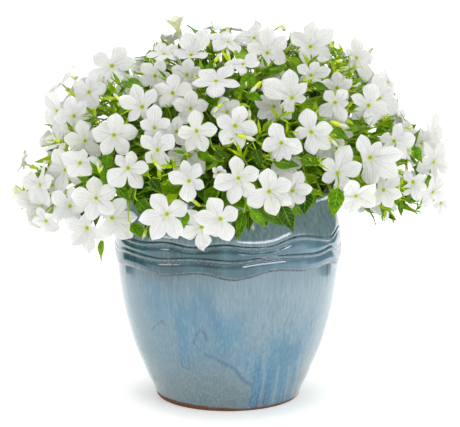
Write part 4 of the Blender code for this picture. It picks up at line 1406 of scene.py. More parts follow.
    # ---- blue: soft patches, then distinct runs
    blue = m.mix(m.smooth(broad, 0.35, 0.7), lin(72, 132, 164), lin(104, 152, 180))
    deep = lin(32, 78, 134)
    fuzz = m.math('MULTIPLY', m.math('SUBTRACT', runs, 0.5), 0.9)
    for (x, y), rx, ry, amount in (((278, 366), 38, 50, 0.92), ((249, 360), 20, 26, 0.60), ((276, 393), 30, 16, 0.50), ((198, 310), 18, 26, 0.62), ((226, 332), 26, 28, 0.78),
                                   ((156, 305), 20, 30, 0.60), ((184, 332), 18, 42, 0.70), ((165, 352), 14, 30, 0.20),
                                   ((304, 335), 18, 34, 0.50), ((212, 352), 24, 14, 0.35)):
        c = on_wall(x, y)
        q = m.math('ADD', patch(c, rx, ry), m.math('ADD', fuzz, m.math('MULTIPLY', m.math('SUBTRACT', broad, 0.5), 0.9)))
        f = m.math('MULTIPLY', m.math('SUBTRACT', 1.0, m.smooth(q, 0.35, 1.05)), amount)
        col = m.mix(f, col, blue)
    rng = random.Random(4)
    for k in range(9):                                              # the same kind of patches round the back
        turn = 82 + k * 22 + rng.uniform(-7, 7)
        turn = turn if turn <= 180 else turn - 360
        c, rx, ry = (turn, rng.uniform(45, 110)), rng.uniform(14, 30), rng.uniform(22, 42)
        oval = patch(c, rx, ry)
        if abs(turn) > 145:                                          # such a patch also shows across the back line
            oval = m.math('MINIMUM', oval, patch((turn - math.copysign(360, turn), c[1]), rx, ry))
        q = m.math('ADD', oval, m.math('ADD', fuzz, m.math('MULTIPLY', m.math('SUBTRACT', broad, 0.5), 0.9)))
        f = m.math('MULTIPLY', m.math('SUBTRACT', 1.0, m.smooth(q, 0.35, 1.05)), rng.uniform(0.3, 0.75))
        col = m.mix(f, col, blue)

    runs_front = [((258.5, 354), (254, 405), 3.6, 5.6, 0.92, True), ((270, 356), (266, 402), 2.8, 3.8, 0.85, True),
                  ((285, 352), (281, 404), 3.0, 4.8, 0.94, True), ((294.5, 346), (288.5, 403), 2.6, 3.8, 0.92, True),
                  ((300, 340), (294, 395), 1.4, 1.8, 0.55, False), ((184, 300), (185, 366), 5.5, 4.6, 0.35, True),
                  ((246, 350), (248, 382), 2.0, 1.2, 0.30, False)]
    shapes = []
    for a, b, wa, wb, amount, tail in runs_front:
        shapes.append((on_wall(*a), on_wall(*b), wa, wb, amount, tail))
    for k in range(13):
        turn = 78 + k * 16.5 + rng.uniform(-5, 5)
        turn = turn if turn <= 176 else turn - 360
        if turn > 170 or turn < -172:
            continue
        top = rng.uniform(50, 95)
        bottom = rng.uniform(6, 40)
        shapes.append(((turn, top), (turn + rng.uniform(-3, 3), bottom), rng.uniform(1.5, 3.5), rng.uniform(1.8, 4.6),
                       rng.uniform(0.35, 0.9), rng.random() < 0.6))
    run_blue = m.mix(m.smooth(runs, 0.3, 0.7), lin(52, 120, 156), lin(86, 148, 180))
    for a, b, wa, wb, amount, tail in shapes:
        d = capsule(a, b, wa, wb)
        fill = m.math('SUBTRACT', 1.0, m.smooth(m.math('ADD', d, m.math('MULTIPLY', m.math('SUBTRACT', runs, 0.5), 1.4)), -1.6, 1.8))
        fade = m.smooth(v, a[1] + 12.0, a[1] - 22.0)
        top_fade = m.math('MULTIPLY', fill, fade)
        col = m.mix(m.math('MULTIPLY', top_fade, amount), col, run_blue)
        if tail:
            # glaze gathers darker along the lower edge of a run
            ring = m.math('SUBTRACT', 1.0, m.smooth(m.math('ABSOLUTE', m.math('ADD', d, 0.6)), 0.2, 1.3))
            at_end = m.smooth(v, b[1] + 26.0, b[1] - 2.0)
            col = m.mix(m.math('MULTIPLY', m.math('MULTIPLY', ring, at_end), 0.55 * amount + 0.2), col, deep)

    # paler runs between the blue ones
    pale_runs = None
    for a, b, w, amount in (((265, 362), (260.5, 399), 1.0, 0.42), ((278, 360), (273.5, 401), 1.6, 0.50), ((290, 362), (285, 400), 0.8, 0.45),
                            ((300, 350), (294, 392), 0.9, 0.35), ((250, 356), (248, 384), 1.1, 0.25), ((308, 345), (299, 378), 0.9, 0.25)):
        p, q = on_wall(*a), on_wall(*b)
        d = capsule(p, q, w * 0.6, w)
        f = m.math('SUBTRACT', 1.0, m.smooth(m.math('ADD', d, m.math('MULTIPLY', m.math('SUBTRACT', runs, 0.5), 1.2)), -1.0, 1.6))
        f = m.math('MULTIPLY', m.math('MULTIPLY', f, m.smooth(v, p[1] + 4.0, p[1] - 16.0)), amount)
        pale_runs = f if pale_runs is None else m.math('MAXIMUM', pale_runs, f)
    col = m.mix(pale_runs, col, lin(160, 188, 204))

    # ---- the slanting edge where the blue coat stops, lower left of the middle, with a soft painted shadow below it, and small marks
    def stroke(points, width, strength, colour):
        nonlocal col
        pts = [on_wall(*p) for p in points]
        best = None
        for p, q in zip(pts[:-1], pts[1:]):
            d = capsule(p, q, width, width)
            best = d if best is None else m.math('MINIMUM', best, d)
        f = m.math('SUBTRACT', 1.0, m.smooth(best, -width, 1.3))
        col = m.mix(m.math('MULTIPLY', f, strength), col, colour)

    # the wide soft band is painted shadow below the blue coat's edge; the thin stroke darkens the edge itself
    stroke([(206, 354), (220, 362), (234, 368), (243, 379), (252, 387)], 2.2, 0.74, lin(78, 116, 152))
    stroke([(212, 358), (220, 362), (234, 368), (243, 379), (252, 387)], 1.0, 0.20, lin(76, 106, 146))
    stroke([(194, 343), (196, 335), (201, 329.5), (206, 334), (207.5, 341)], 1.6, 0.72, lin(76, 108, 142))
    stroke([(153, 329), (158.5, 323.5), (162.5, 322), (166, 326)], 1.4, 0.66, lin(76, 108, 140))
    stroke([(177, 345), (178.5, 358), (184.5, 367.5), (191, 362)], 0.60, 0.40, lin(76, 106, 148))

    # painted shade just under the lowest ridge on the left, and a dark teal run at each side edge, which is a painted
    # reflection
    shade = m.math('MULTIPLY', m.smooth(dc, -8.0, -2.5), m.math('SUBTRACT', 1.0, m.smooth(u, -30.0, 6.0)))
    shade = m.math('MULTIPLY', shade, m.smooth(u, -130.0, -80.0))
    col = m.mix(m.math('MULTIPLY', shade, 0.45), col, lin(74, 106, 118))
    # painted reflection: a dark teal run down each side edge of the front, where the bright edge reflection meets the
    # dark
    side = m.math('MINIMUM', capsule(on_wall(125.5, 267), on_wall(131.5, 307), 1.7, 0.3), capsule(on_wall(328.5, 265), on_wall(327, 286), 1.4, 0.3))
    col = m.mix(m.math('MULTIPLY', m.math('SUBTRACT', 1.0, m.smooth(side, -1.0, 1.2)), 0.55), col, lin(62, 100, 114))

    # ---- thin vertical runs and specks everywhere on the body
    col = m.mix(m.math('MULTIPLY', m.smooth(runs, 0.50, 0.78), 0.20), col, lin(168, 184, 192))
    col = m.mix(m.math('MULTIPLY', m.smooth(runs, 0.48, 0.22), 0.34), col, lin(84, 114, 130))
    thread = m.noise(m.place((1, 1, 0.08)), 620.0, 2.0, 0.6)
    col = m.mix(m.math('MULTIPLY', m.smooth(thread, 0.50, 0.72), 0.26), col, lin(170, 189, 197))
    col = m.mix(m.math('MULTIPLY', m.smooth(thread, 0.50, 0.28), 0.30), col, lin(84, 112, 122))
    pins = m.math('MULTIPLY', m.smooth(speck, 0.66, 0.76), m.smooth(mottle, 0.42, 0.62))
    col = m.mix(m.math('MULTIPLY', pins, 0.55), col, lin(70, 84, 86))

    # ---- bands and neck
    on_band = m.smooth(dc, -0.6, 0.9)
    band = m.mix(m.smooth(broad, 0.3, 0.75), lin(34, 80, 92), lin(60, 108, 120))
    lean_band = m.math('MULTIPLY', m.smooth(u, -18.0, 44.0), home)
    band = m.mix(m.math('MULTIPLY', lean_band, 0.85), band, m.mix(m.smooth(broad, 0.3, 0.7), lin(92, 134, 158), lin(124, 158, 180)))
    band = m.mix(m.math('MULTIPLY', m.smooth(runs, 0.52, 0.75), 0.22), band, lin(150, 168, 172))
    col = m.mix(on_band, col, band)
    on_neck = m.smooth(da, 1.4, 3.2)
    neck = m.mix(m.smooth(runs, 0.35, 0.68), lin(96, 122, 136), lin(142, 163, 176))
    neck = m.mix(m.math('MULTIPLY', m.smooth(broad, 0.4, 0.8), 0.5), neck, lin(146, 166, 174))
    neck = m.mix(m.math('MULTIPLY', lean, 0.30), neck, lin(142, 163, 172))
    col = m.mix(on_neck, col, neck)

    # ---- where the glaze breaks over an edge: brown and purple-brown lines; the pale lines beside them are painted highlights along the ridges
    ragged = m.math('MULTIPLY', m.math('SUBTRACT', m.noise(m.place(), 260.0, 3.0, 0.7), 0.5), 2.2)
    dots = m.noise(m.place(), 460.0, 1.0, 0.5)
    gap_noise = m.noise(m.place(), 60.0, 2.0)
    ink = m.mix(m.smooth(m.noise(m.place(), 40.0, 2.0), 0.42, 0.62), lin(46, 38, 46), lin(78, 50, 46))

    def line(d, at, half, colour, strength, lo=0.30, hi=0.46, least=0.2):
        nonlocal col
        e = m.math('ABSOLUTE', m.math('ADD', m.math('SUBTRACT', d, at), m.math('MULTIPLY', ragged, 0.5)))
        f = m.math('SUBTRACT', 1.0, m.smooth(e, half * 0.35, half * 1.5))
        f = m.math('MULTIPLY', f, m.math('ADD', m.math('MULTIPLY', m.smooth(gap_noise, lo, hi), 0.65), 0.35))
        f = m.math('MULTIPLY', f, m.math('ADD', m.math('MULTIPLY', m.smooth(dots, 0.42, 0.54), 1.0 - least), least))
        col = m.mix(m.math('MULTIPLY', f, strength), col, colour)

    for d, upper, lower in ((da, 1.0, 0.45), (db, 0.75, 1.0)):
        # the pale lines at 0.2 mm and -3.2 mm are painted highlights; the ink lines are the glaze's break colour
        line(d, 0.2, 1.0, lin(140, 158, 166), 0.55)
        line(d, 1.9, 0.46, ink, upper)
        line(d, -1.8, 0.60, ink, lower)
        line(d, -3.2, 0.6, lin(150, 170, 178), 0.55)
    # a painted highlight just above the lowest ridge, then its ink line
    line(dc, 1.5, 0.7, lin(146, 158, 166), 0.50)
    line(dc, -0.2, 0.95, ink, 1.0, 0.16, 0.30, 0.50)
    line(da, 37.2, 0.8, lin(92, 70, 60), 0.60)

    # one small brown arch where the glaze pulled back, on the middle ridge
    c = on_wall(258.5, 260.0)
    ring_d = m.math('ABSOLUTE', m.math('SUBTRACT', patch(c, 5.4, 3.4), 0.85))
    arch = m.math('MULTIPLY', m.math('SUBTRACT', 1.0, m.smooth(ring_d, 0.08, 0.24)), m.smooth(v, c[1] - 0.8, c[1] + 0.8))
    col = m.mix(m.math('MULTIPLY', arch, 0.95), col, lin(92, 52, 44))

    # ---- the inside: thinner glaze, brown below the soil line
    col = m.mix(inside, col, m.mix(m.smooth(mottle, 0.35, 0.65), lin(92, 108, 112), lin(120, 134, 138)))

    col = m.mix(1.0, col, (0.78, 0.84, 0.845), 'MULTIPLY')

    # ---- bare clay at the foot
    edge = m.math('ADD', m.math('MULTIPLY', m.math('SUBTRACT', m.noise(m.place((1, 1, 0.2)), 45.0, 3.0, 0.6), 0.5), 3.2),
                  m.math('MULTIPLY', m.math('SUBTRACT', 1.0, m.math('MULTIPLY', m.smooth(u, -50.0, 35.0), home)), 3.0))
    edge = m.math('ADD', edge, 1.9)
    clay_at = m.math('SUBTRACT', 1.0, m.smooth(m.math('SUBTRACT', v, edge), -0.15, 0.45))
    under = m.smooth(v, -400.0, -478.0)                              # the foot ring and the underside
    clay_at = m.math('MAXIMUM', m.math('MULTIPLY', clay_at, m.math('SUBTRACT', 1.0, inside)), m.math('MULTIPLY', under, inside))
    clay = m.mix(m.smooth(m.noise(m.place(), 420.0, 3.0, 0.7), 0.35, 0.65), lin(84, 44, 22), lin(120, 70, 40))
    rim_dark = m.math('SUBTRACT', 1.0, m.smooth(m.math('ABSOLUTE', m.math('SUBTRACT', m.math('SUBTRACT', v, edge), 0.5)), 0.1, 0.7))
    col = m.mix(m.math('MULTIPLY', rim_dark, 0.6), col, lin(70, 62, 60))
    col = m.mix(clay_at, col, clay)
    m.set("Base Color", col)

    # ---- gloss
    rough = m.math('ADD', m.math('MULTIPLY', mottle, 0.08), 0.06)
    rough = m.math('ADD', rough, m.math('MULTIPLY', low, 0.10))
    rough = m.math('ADD', rough, m.math('MULTIPLY', clay_at, 0.55))
    m.set("Roughness", rough)
    h = m.math('ADD', m.math('MULTIPLY', runs, 0.35), m.math('MULTIPLY', mottle, 0.4))
    h = m.math('ADD', h, m.math('MULTIPLY', soft, 1.6))
    h = m.math('SUBTRACT', h, m.math('MULTIPLY', pins, 0.25))
    m.set("Normal", m.bump(h, 0.22, 0.0005))
    m.set("Coat Weight", m.math('MULTIPLY', m.math('SUBTRACT', 1.0, clay_at), 0.5))
    m.b.inputs["Coat Roughness"].default_value = 0.05
    m.b.inputs["IOR"].default_value = 1.52
    return m


# =====================================================================================
# 6. Potting mix
# =====================================================================================
def mix_material(name, a, b, rough=0.95, scale=900.0):
    m = Mat(name, rough)
    n1 = m.noise(m.place(), scale, 3.0, 0.7)
    n2 = m.noise(m.place(), scale * 0.22, 2.0)
    c = m.mix(m.smooth(n1, 0.3, 0.7), a, b)
    c = m.mix(m.math('MULTIPLY', m.smooth(n2, 0.45, 0.75), 0.5), c, tuple(x * 0.4 for x in a))
    m.set("Base Color", c)
    m.set("Normal", m.bump(n1, 0.8, 0.0008))
    return m


def build_soil():
    rng = random.Random(21)
    cols, rings = 180, 60
    g = 0.0009
    prof = [(0.0655, FLOOR_TOP + g), (0.0694, 0.0189), (0.0770 - g, 0.0320), (0.0918 - g, 0.0740),
            (0.1000 - g, 0.1150), (0.1044 - g, 0.1500), (0.1030 - g, 0.1770), (0.0978, SOIL_EDGE - 0.0004)]
    verts, faces, uvs = [], [], []
    top_r = [0.0968 * (1 - i / rings) for i in range(rings)]
    n = len(prof) + rings
    for s in range(cols):
        th = 2 * math.pi * s / cols
        for r, z in prof:
            verts.append(Vector((r * math.sin(th), -r * math.cos(th), z)))
        for r in top_r:
            x, y = r * math.sin(th), -r * math.cos(th)
            k = noise.fractal(Vector((x, y, 0)) * 330, 0.6, 2.1, 4)
            c = noise.cell(Vector((x, y, 0)) * 260) - 0.5
            bump = 0.0011 * k + 0.0012 * c
            fall = min(1.0, (0.0968 - r) / 0.004)
            verts.append(Vector((x, y, soil_top(r) + bump * fall)))
    for s in range(cols):
        t = (s + 1) % cols
        for i in range(n - 1):
            faces.append((s * n + i, t * n + i, t * n + i + 1, s * n + i + 1))
            uvs.append([(0, 0), (1, 0), (1, 1), (0, 1)])
    faces.append(tuple(s * n for s in reversed(range(cols))))
    uvs.append([(0, 0)] * cols)
    top = len(verts)
    verts.append(Vector((0, 0, soil_top(0))))
    for s in range(cols):
        t = (s + 1) % cols
        faces.append((s * n + n - 1, t * n + n - 1, top))
        uvs.append([(0, 0)] * 3)
    b = Build()
    b.add(verts, faces, uvs, 0)
    mixm = mix_material("potting_mix", lin(46, 34, 26), lin(82, 62, 46))
    o = b.make("potting_mix", [mixm], None)
    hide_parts("potting_soil")
    # bark chips, fibres and perlite lying in the surface
    chips = Build()
    for k in range(420):
        r = 0.094 * math.sqrt(rng.random())
        th = rng.uniform(0, 2 * math.pi)
        p = Vector((r * math.sin(th), -r * math.cos(th), soil_top(r) + 0.0004))
        kind = rng.random()
        d = Vector((rng.uniform(-1, 1), rng.uniform(-1, 1), rng.uniform(-0.25, 0.25))).normalized()
        if kind < 0.60:
            L, w = rng.uniform(0.002, 0.0052), rng.uniform(0.0009, 0.0020)
            pts = [p - d * L, p - d * L * 0.6, p + d * L * 0.5, p + d * L]
            v, f = loft(pts, [w * 0.4, w, w * 0.8, w * 0.3], 5, rng.uniform(0, 6))
            v = [Vector((q.x, q.y, p.z + (q.z - p.z) * 0.45)) for q in v]
            chips.add(v, f, [[(0, 0)] * len(x) for x in f], 0)
        elif kind < 0.85:
            L = rng.uniform(0.004, 0.011)
            c = d.cross(Vector((0, 0, 1))) * rng.uniform(-0.3, 0.3) * L
            pts = [p - d * L, p + c, p + d * L]
            v, f = loft(catmull(pts, 3), [0.00022] * 7, 4)
            chips.add(v, f, [[(0, 0)] * len(x) for x in f], 0)
        else:
            R = rng.uniform(0.0009, 0.0019)
            pts = [p - d * R, p - d * R * 0.5, p + d * R * 0.5, p + d * R]
            v, f = loft(pts, [R * 0.5, R, R * 0.9, R * 0.45], 6, rng.uniform(0, 6))
            chips.add(v, f, [[(0, 0)] * len(x) for x in f], 1)
    bark = mix_material("bark_chips", lin(70, 48, 34), lin(112, 82, 58), 0.85, 1400.0)
    perlite = mix_material("perlite", lin(205, 202, 192), lin(232, 230, 224), 0.8, 1600.0)
    chips.make("mix_chips", [bark, perlite], 30.0)


# =====================================================================================
# 7. Materials of the plant
# =====================================================================================
def petal_material():
    m = Mat("petal_white", 0.66)
    _, u, v = m.uv()
    t = m.math('ABSOLUTE', m.math('SUBTRACT', m.math('MULTIPLY', u, 2.0), 1.0))
    wob = m.math('MULTIPLY', m.math('SUBTRACT', m.noise(m.place(), 300.0, 2.0), 0.5), 0.14)
    tt = m.math('ADD', t, wob)

    def vein(at, half, spread):
        pos = m.math('ADD', m.math('MULTIPLY', m.math('POWER', v, 0.7), spread), at)
        e = m.math('ABSOLUTE', m.math('SUBTRACT', tt, pos))
        return m.math('SUBTRACT', 1.0, m.smooth(e, half * 0.1, half * 2.2))

    veins = m.math('MAXIMUM', m.math('MULTIPLY', vein(0.0, 0.050, 0.0), 0.50), m.math('MULTIPLY', vein(0.20, 0.036, 0.10), 0.66))
    veins = m.math('MAXIMUM', veins, m.math('MULTIPLY', vein(0.40, 0.038, 0.14), 0.80))
    veins = m.math('MAXIMUM', veins, m.math('MULTIPLY', vein(0.60, 0.032, 0.17), 0.62))
    veins = m.math('MAXIMUM', veins, m.math('MULTIPLY', vein(0.76, 0.026, 0.16), 0.40))
    along = m.math('MULTIPLY', m.smooth(v, 0.05, 0.22), m.smooth(v, 0.99, 0.70))
    veins = m.math('MULTIPLY', veins, along)
    soft = m.noise(m.place(), 75.0, 2.0)
    base = m.mix(m.smooth(soft, 0.28, 0.72), lin(235, 236, 234), lin(250, 250, 247))
    streak = m.nt.nodes.new('ShaderNodeMapping')
    streak.inputs["Scale"].default_value = (20.0, 1.8, 1.0)
    m.nt.links.new(m.uv()[0], streak.inputs["Vector"])
    fine = m.noise(streak.outputs[0], 1.0, 2.0)
    base = m.mix(m.math('MULTIPLY', m.smooth(fine, 0.40, 0.72), 0.45), base, lin(217, 218, 215))
    # painted shade in a soft trough on each side of the midrib, and a paler middle of each half
    crease_shade = m.math('MULTIPLY', m.math('SUBTRACT', 1.0, m.smooth(tt, 0.02, 0.30)), m.smooth(v, 1.0, 0.45))
    base = m.mix(m.math('MULTIPLY', crease_shade, 0.30), base, lin(210, 212, 210))
    col = m.mix(m.math('MULTIPLY', veins, 0.46), base, lin(186, 188, 181))
    hem = m.math('MULTIPLY', m.smooth(t, 0.80, 1.0), m.smooth(v, 0.30, 0.55))
    col = m.mix(m.math('MULTIPLY', hem, 0.22), col, lin(206, 208, 206))
    # towards the throat the petals turn greyer and greener: their own green tint, with painted shade in the funnel
    cup = m.math('MULTIPLY', m.smooth(v, 0.40, 0.10), 0.42)
    col = m.mix(cup, col, lin(206, 212, 196))
    glow = m.smooth(v, 0.17, 0.06)
    col = m.mix(m.math('MULTIPLY', glow, 0.85), col, lin(206, 218, 96))
    cream = m.smooth(m.noise(m.place(), 20.0, 1.0), 0.52, 0.74)
    col = m.mix(m.math('MULTIPLY', cream, 0.40), col, lin(232, 234, 208))
    m.set("Base Color", col)
    h = m.math('SUBTRACT', m.math('MULTIPLY', fine, 0.35), m.math('MULTIPLY', veins, 0.75))
    h = m.math('ADD', h, m.math('MULTIPLY', m.noise(m.place(), 190.0, 1.0, 0.4), 1.6))
    m.set("Normal", m.bump(h, 0.6, 0.0008))
    m.b.inputs["Sheen Weight"].default_value = 0.08
    m.b.inputs["Sheen Roughness"].default_value = 0.5
    m.b.inputs["Specular IOR Level"].default_value = 0.2
    m.b.inputs["Subsurface Weight"].default_value = 0.42
    m.b.inputs["Subsurface Radius"].default_value = (1.0, 1.0, 0.85)
    m.b.inputs["Subsurface Scale"].default_value = 0.0022
    return m


def cream_material():
    m = Mat("opening_cream", 0.6)
    _, u, v = m.uv()
    n = m.noise(m.place(), 320.0, 2.0)
    fold = m.math('ABSOLUTE', m.math('SUBTRACT', u, 0.5))
    c = m.mix(m.smooth(n, 0.3, 0.7), lin(228, 231, 180), lin(240, 241, 208))
    c = m.mix(m.math('MULTIPLY', m.smooth(fold, 0.10, 0.0), 0.5), c, lin(226, 232, 160))
    c = m.mix(m.smooth(v, 0.45, 0.15), c, lin(226, 232, 120))
    m.set("Base Color", c)
    m.b.inputs["Specular IOR Level"].default_value = 0.2
    m.b.inputs["Subsurface Weight"].default_value = 0.5
    m.b.inputs["Subsurface Radius"].default_value = (1.0, 1.0, 0.7)
    m.b.inputs["Subsurface Scale"].default_value = 0.0022
    return m


def plain_green(name, a, b, rough=0.5, scale=220.0):
    m = Mat(name, rough)
    n1 = m.noise(m.place(), scale, 3.0, 0.6)
    n2 = m.noise(m.place(), 38.0, 2.0)
    c = m.mix(m.smooth(n1, 0.3, 0.7), a, b)
    c = m.mix(m.math('MULTIPLY', m.smooth(n2, 0.35, 0.7), 0.5), c, tuple(min(1, k * 1.5) for k in b))
    m.set("Base Color", c)
    m.set("Normal", m.bump(n1, 0.3, 0.0003))
    m.b.inputs["Specular IOR Level"].default_value = 0.25
    return m


def throat_material():
    m = Mat("throat_yellow_green", 0.6)
    n = m.noise(m.place(), 1500.0, 2.0)
    m.set("Base Color", m.mix(m.smooth(n, 0.3, 0.7), lin(190, 202, 14), lin(210, 224, 58)))
    return m


def anther_material():
    m = Mat("anther_olive", 0.7)
    n = m.noise(m.place(), 2200.0, 2.0)
    m.set("Base Color", m.mix(m.smooth(n, 0.35, 0.65), lin(158, 168, 4), lin(194, 202, 20)))
    return m


def tube_material():
    m = Mat("corolla_tube", 0.6)
    _, u, v = m.uv()
    n = m.noise(m.place(), 700.0, 2.0)
    pale = m.mix(m.smooth(n, 0.3, 0.7), lin(206, 214, 176), lin(226, 230, 206))
    m.set("Base Color", m.mix(m.smooth(v, 0.55, 1.0), pale, lin(150, 172, 84)))
    return m


def leaf_material():
    m = Mat("leaf_green", 0.42)
    m.b.inputs["Specular IOR Level"].default_value = 0.10
    m.b.inputs["Subsurface Weight"].default_value = 0.30
    m.b.inputs["Subsurface Radius"].default_value = (0.6, 1.0, 0.12)
    m.b.inputs["Subsurface Scale"].default_value = 0.0016
    _, u, v = m.uv()
    kind = m.math('FLOOR', m.math('DIVIDE', u, 4.0))                 # a shade number for each leaf
    uu = m.math('SUBTRACT', u, m.math('MULTIPLY', kind, 4.0))
    under = m.math('GREATER_THAN', uu, 1.5)
    uu = m.math('SUBTRACT', uu, m.math('MULTIPLY', under, 2.0))
    t = m.math('ABSOLUTE', m.math('SUBTRACT', m.math('MULTIPLY', uu, 2.0), 1.0))
    shade = m.math('DIVIDE', kind, 7.0)
    n1 = m.noise(m.place(), 160.0, 3.0, 0.6)
    n2 = m.noise(m.place(), 700.0, 2.0)
    # leaf tones from dark to young by the shade number; the dark tones are painted shade, given to leaves inside the
    # crown
    dark = m.mix(m.smooth(n1, 0.3, 0.7), lin(14, 38, 0), lin(36, 70, 1))
    mid = m.mix(m.smooth(n1, 0.3, 0.7), lin(54, 104, 0), lin(112, 160, 0))
    young = m.mix(m.smooth(n1, 0.3, 0.7), lin(174, 210, 0), lin(220, 240, 26))
    col = m.mix(m.smooth(shade, 0.05, 0.50), dark, mid)
    col = m.mix(m.smooth(shade, 0.60, 1.0), col, young)
    col = m.mix(m.math('MULTIPLY', m.smooth(n2, 0.5, 0.75), 0.35), col, lin(30, 64, 2))
    # midrib and side veins
    mid_rib = m.math('SUBTRACT', 1.0, m.smooth(t, 0.02, 0.085))
    saw = m.math('FRACT', m.math('SUBTRACT', m.math('MULTIPLY', v, 6.5), m.math('MULTIPLY', t, 1.5)))
    side = m.math('SUBTRACT', 1.0, m.smooth(m.math('ABSOLUTE', m.math('SUBTRACT', saw, 0.5)), 0.03, 0.11))
    side = m.math('MULTIPLY', side, m.math('MULTIPLY', m.smooth(t, 0.98, 0.70), m.smooth(v, 0.97, 0.86)))
    rib = m.math('MAXIMUM', mid_rib, m.math('MULTIPLY', side, 0.55))
    col = m.mix(m.math('MULTIPLY', rib, 0.55), col, lin(150, 186, 40))
    between = m.math('SUBTRACT', 1.0, m.smooth(m.math('ABSOLUTE', m.math('SUBTRACT', saw, 0.0)), 0.0, 0.22))
    col = m.mix(m.math('MULTIPLY', between, 0.40), col, lin(20, 52, 0))
    rim = m.smooth(t, 0.86, 1.0)
    col = m.mix(m.math('MULTIPLY', rim, 0.35), col, lin(150, 160, 52))
    pale = m.mix(0.5, col, lin(140, 170, 60))
    col = m.mix(m.math('MULTIPLY', under, 0.9), col, pale)
    m.set("Base Color", col)
    rough = m.math('ADD', m.math('MULTIPLY', n2, 0.18), 0.34)
    m.set("Roughness", m.math('ADD', rough, m.math('MULTIPLY', under, 0.25)))
    h = m.math('ADD', m.math('MULTIPLY', n2, 0.4), m.math('MULTIPLY', rib, -0.8))
    m.set("Normal", m.bump(h, 0.5, 0.0004))
    return m


MAT_PETAL = petal_material()
MAT_THROAT = throat_material()
MAT_TUBE = tube_material()
MAT_ANTHER = anther_material()
MAT_LEAF = leaf_material()
MAT_PETIOLE = plain_green("petiole_green", lin(124, 160, 12), lin(160, 192, 34))
MAT_STEM = plain_green("stem_green", lin(106, 146, 4), lin(160, 194, 24))
MAT_WOOD = plain_green("old_stem", lin(92, 90, 48), lin(126, 124, 70), 0.7)
MAT_CALYX = plain_green("calyx_green", lin(168, 204, 6), lin(212, 232, 42), 0.55, 500.0)
MAT_CREAM = cream_material()
FLOWER_MATS = [MAT_PETAL, MAT_THROAT, MAT_TUBE, MAT_ANTHER, MAT_CREAM]

# =====================================================================================
# 8. The plant
# =====================================================================================
# More flowers of the front: sheet place of the eye, lean right and up, mm behind the dome,
# radius, tips of the lobes. kind: 0 open, 1 half open, 2 turned away.
MORE_FRONT = [
    (65, 170, -0.5, 0, 6, 23, [], 0), (112, 218, 0, 0, 12, 22, [(99, 202), (126, 198), (137, 218), (131, 238), (104, 238)], 0),
    (128, 168, 0, 0, 6, 22, [(132, 151), (150, 170), (142, 188), (109, 185), (116, 154)], 0),
    (176.5, 131.5, 0, 0, 12, 14, [], 0), (157.5, 150, 0, 0, 8, 20, [(142, 135), (174.5, 135), (165, 169), (147, 163), (159, 131)], 0),
    (201.5, 227, 0, -0.4, 12, 23, [], 0), (258, 178, 0, 0, 12, 22, [], 0),
    (292.4, 191, 0, 0.1, 12, 20, [(286, 168), (299, 169.5), (312.5, 188), (306.5, 202), (282, 210)], 0),
    (335, 102.5, 0, 0, 2, 18, [(325, 91), (320, 118), (343.5, 124), (350, 103), (347, 90)], 0),
    (380, 98, 0.75, 0.2, 8, 23, [], 0), (337.5, 173, 0, 0, 12, 22, [(350, 145), (362, 165), (346, 191.5), (322, 180), (322, 158)], 0),
    (413, 182, 0, 0, 4, 20, [(405, 174), (425, 176), (427, 190), (416, 202), (407, 197)], 0),
    (433, 192, 0.7, -0.4, 4, 20, [], 0), (356, 196, 0, -0.7, 10, 22, [], 0), (254, 38, -0.3, 0.6, 4, 22, [], 0),
    (311, 75.3, 0, 0, 6, 21, [(297, 66), (318, 62), (331.5, 73), (322, 82), (300, 82)], 0),
    (274, 106.5, 0, 0, 14, 22, [(253.5, 103), (276, 85), (291, 120), (269, 123), (257, 118)], 0),
    (223.5, 98.8, 0, 0.5, 6, 17, [], 0), (243, 64, 0, 0.8, 4, 18, [], 0), (228, 42, 0, 0.85, 4, 21, [], 0),
    (190.5, 108.5, 0, 0, 14, 17, [], 0), (227, 112, 0, 0, 16, 15, [], 0), (89, 92, -0.4, 0.2, 6, 20, [], 0),
    (61, 83, -0.70, 0.70, 0, 24, [], 0), (74, 116, -0.3, 0, 8, 20, [], 0), (85, 141, 0, 0, 8, 20, [], 0),
    (93, 152, 0, 0, 14, 18, [], 0), (40, 206, -0.6, -0.5, 2, 26, [], 2), (70, 206, -0.4, 0, 12, 21, [], 0),
    (164, 54, 0, 0.85, 4, 17, [], 0), (191, 55, 0, 0.5, 4, 20, [(205, 24), (188, 33), (173, 47), (177, 57), (208, 50)], 0),
    (155, 76, 0, 0, 16, 17, [], 0), (161, 97, -0.2, 0.3, 14, 14, [], 2), (219, 173, 0, 0, 4, 9, [], 1),
    (337, 88, 0, 0, 16, 16, [], 0), (187, 75, 0, 0, 16, 16, [], 0), (422, 143, 0, 0, 12, 16, [], 0),
    (46, 221, -0.5, -0.45, 8, 15, [], 0), (441, 203, 0.75, -0.3, 4, 12, [], 0), (388, 82, 0.8, 0.4, 4, 15, [], 0),
    (24.5, 192, -0.97, 0.08, -10, 8, [], 5), (178.5, 33, -0.24, 0.93, 0, 10, [], 3),
]
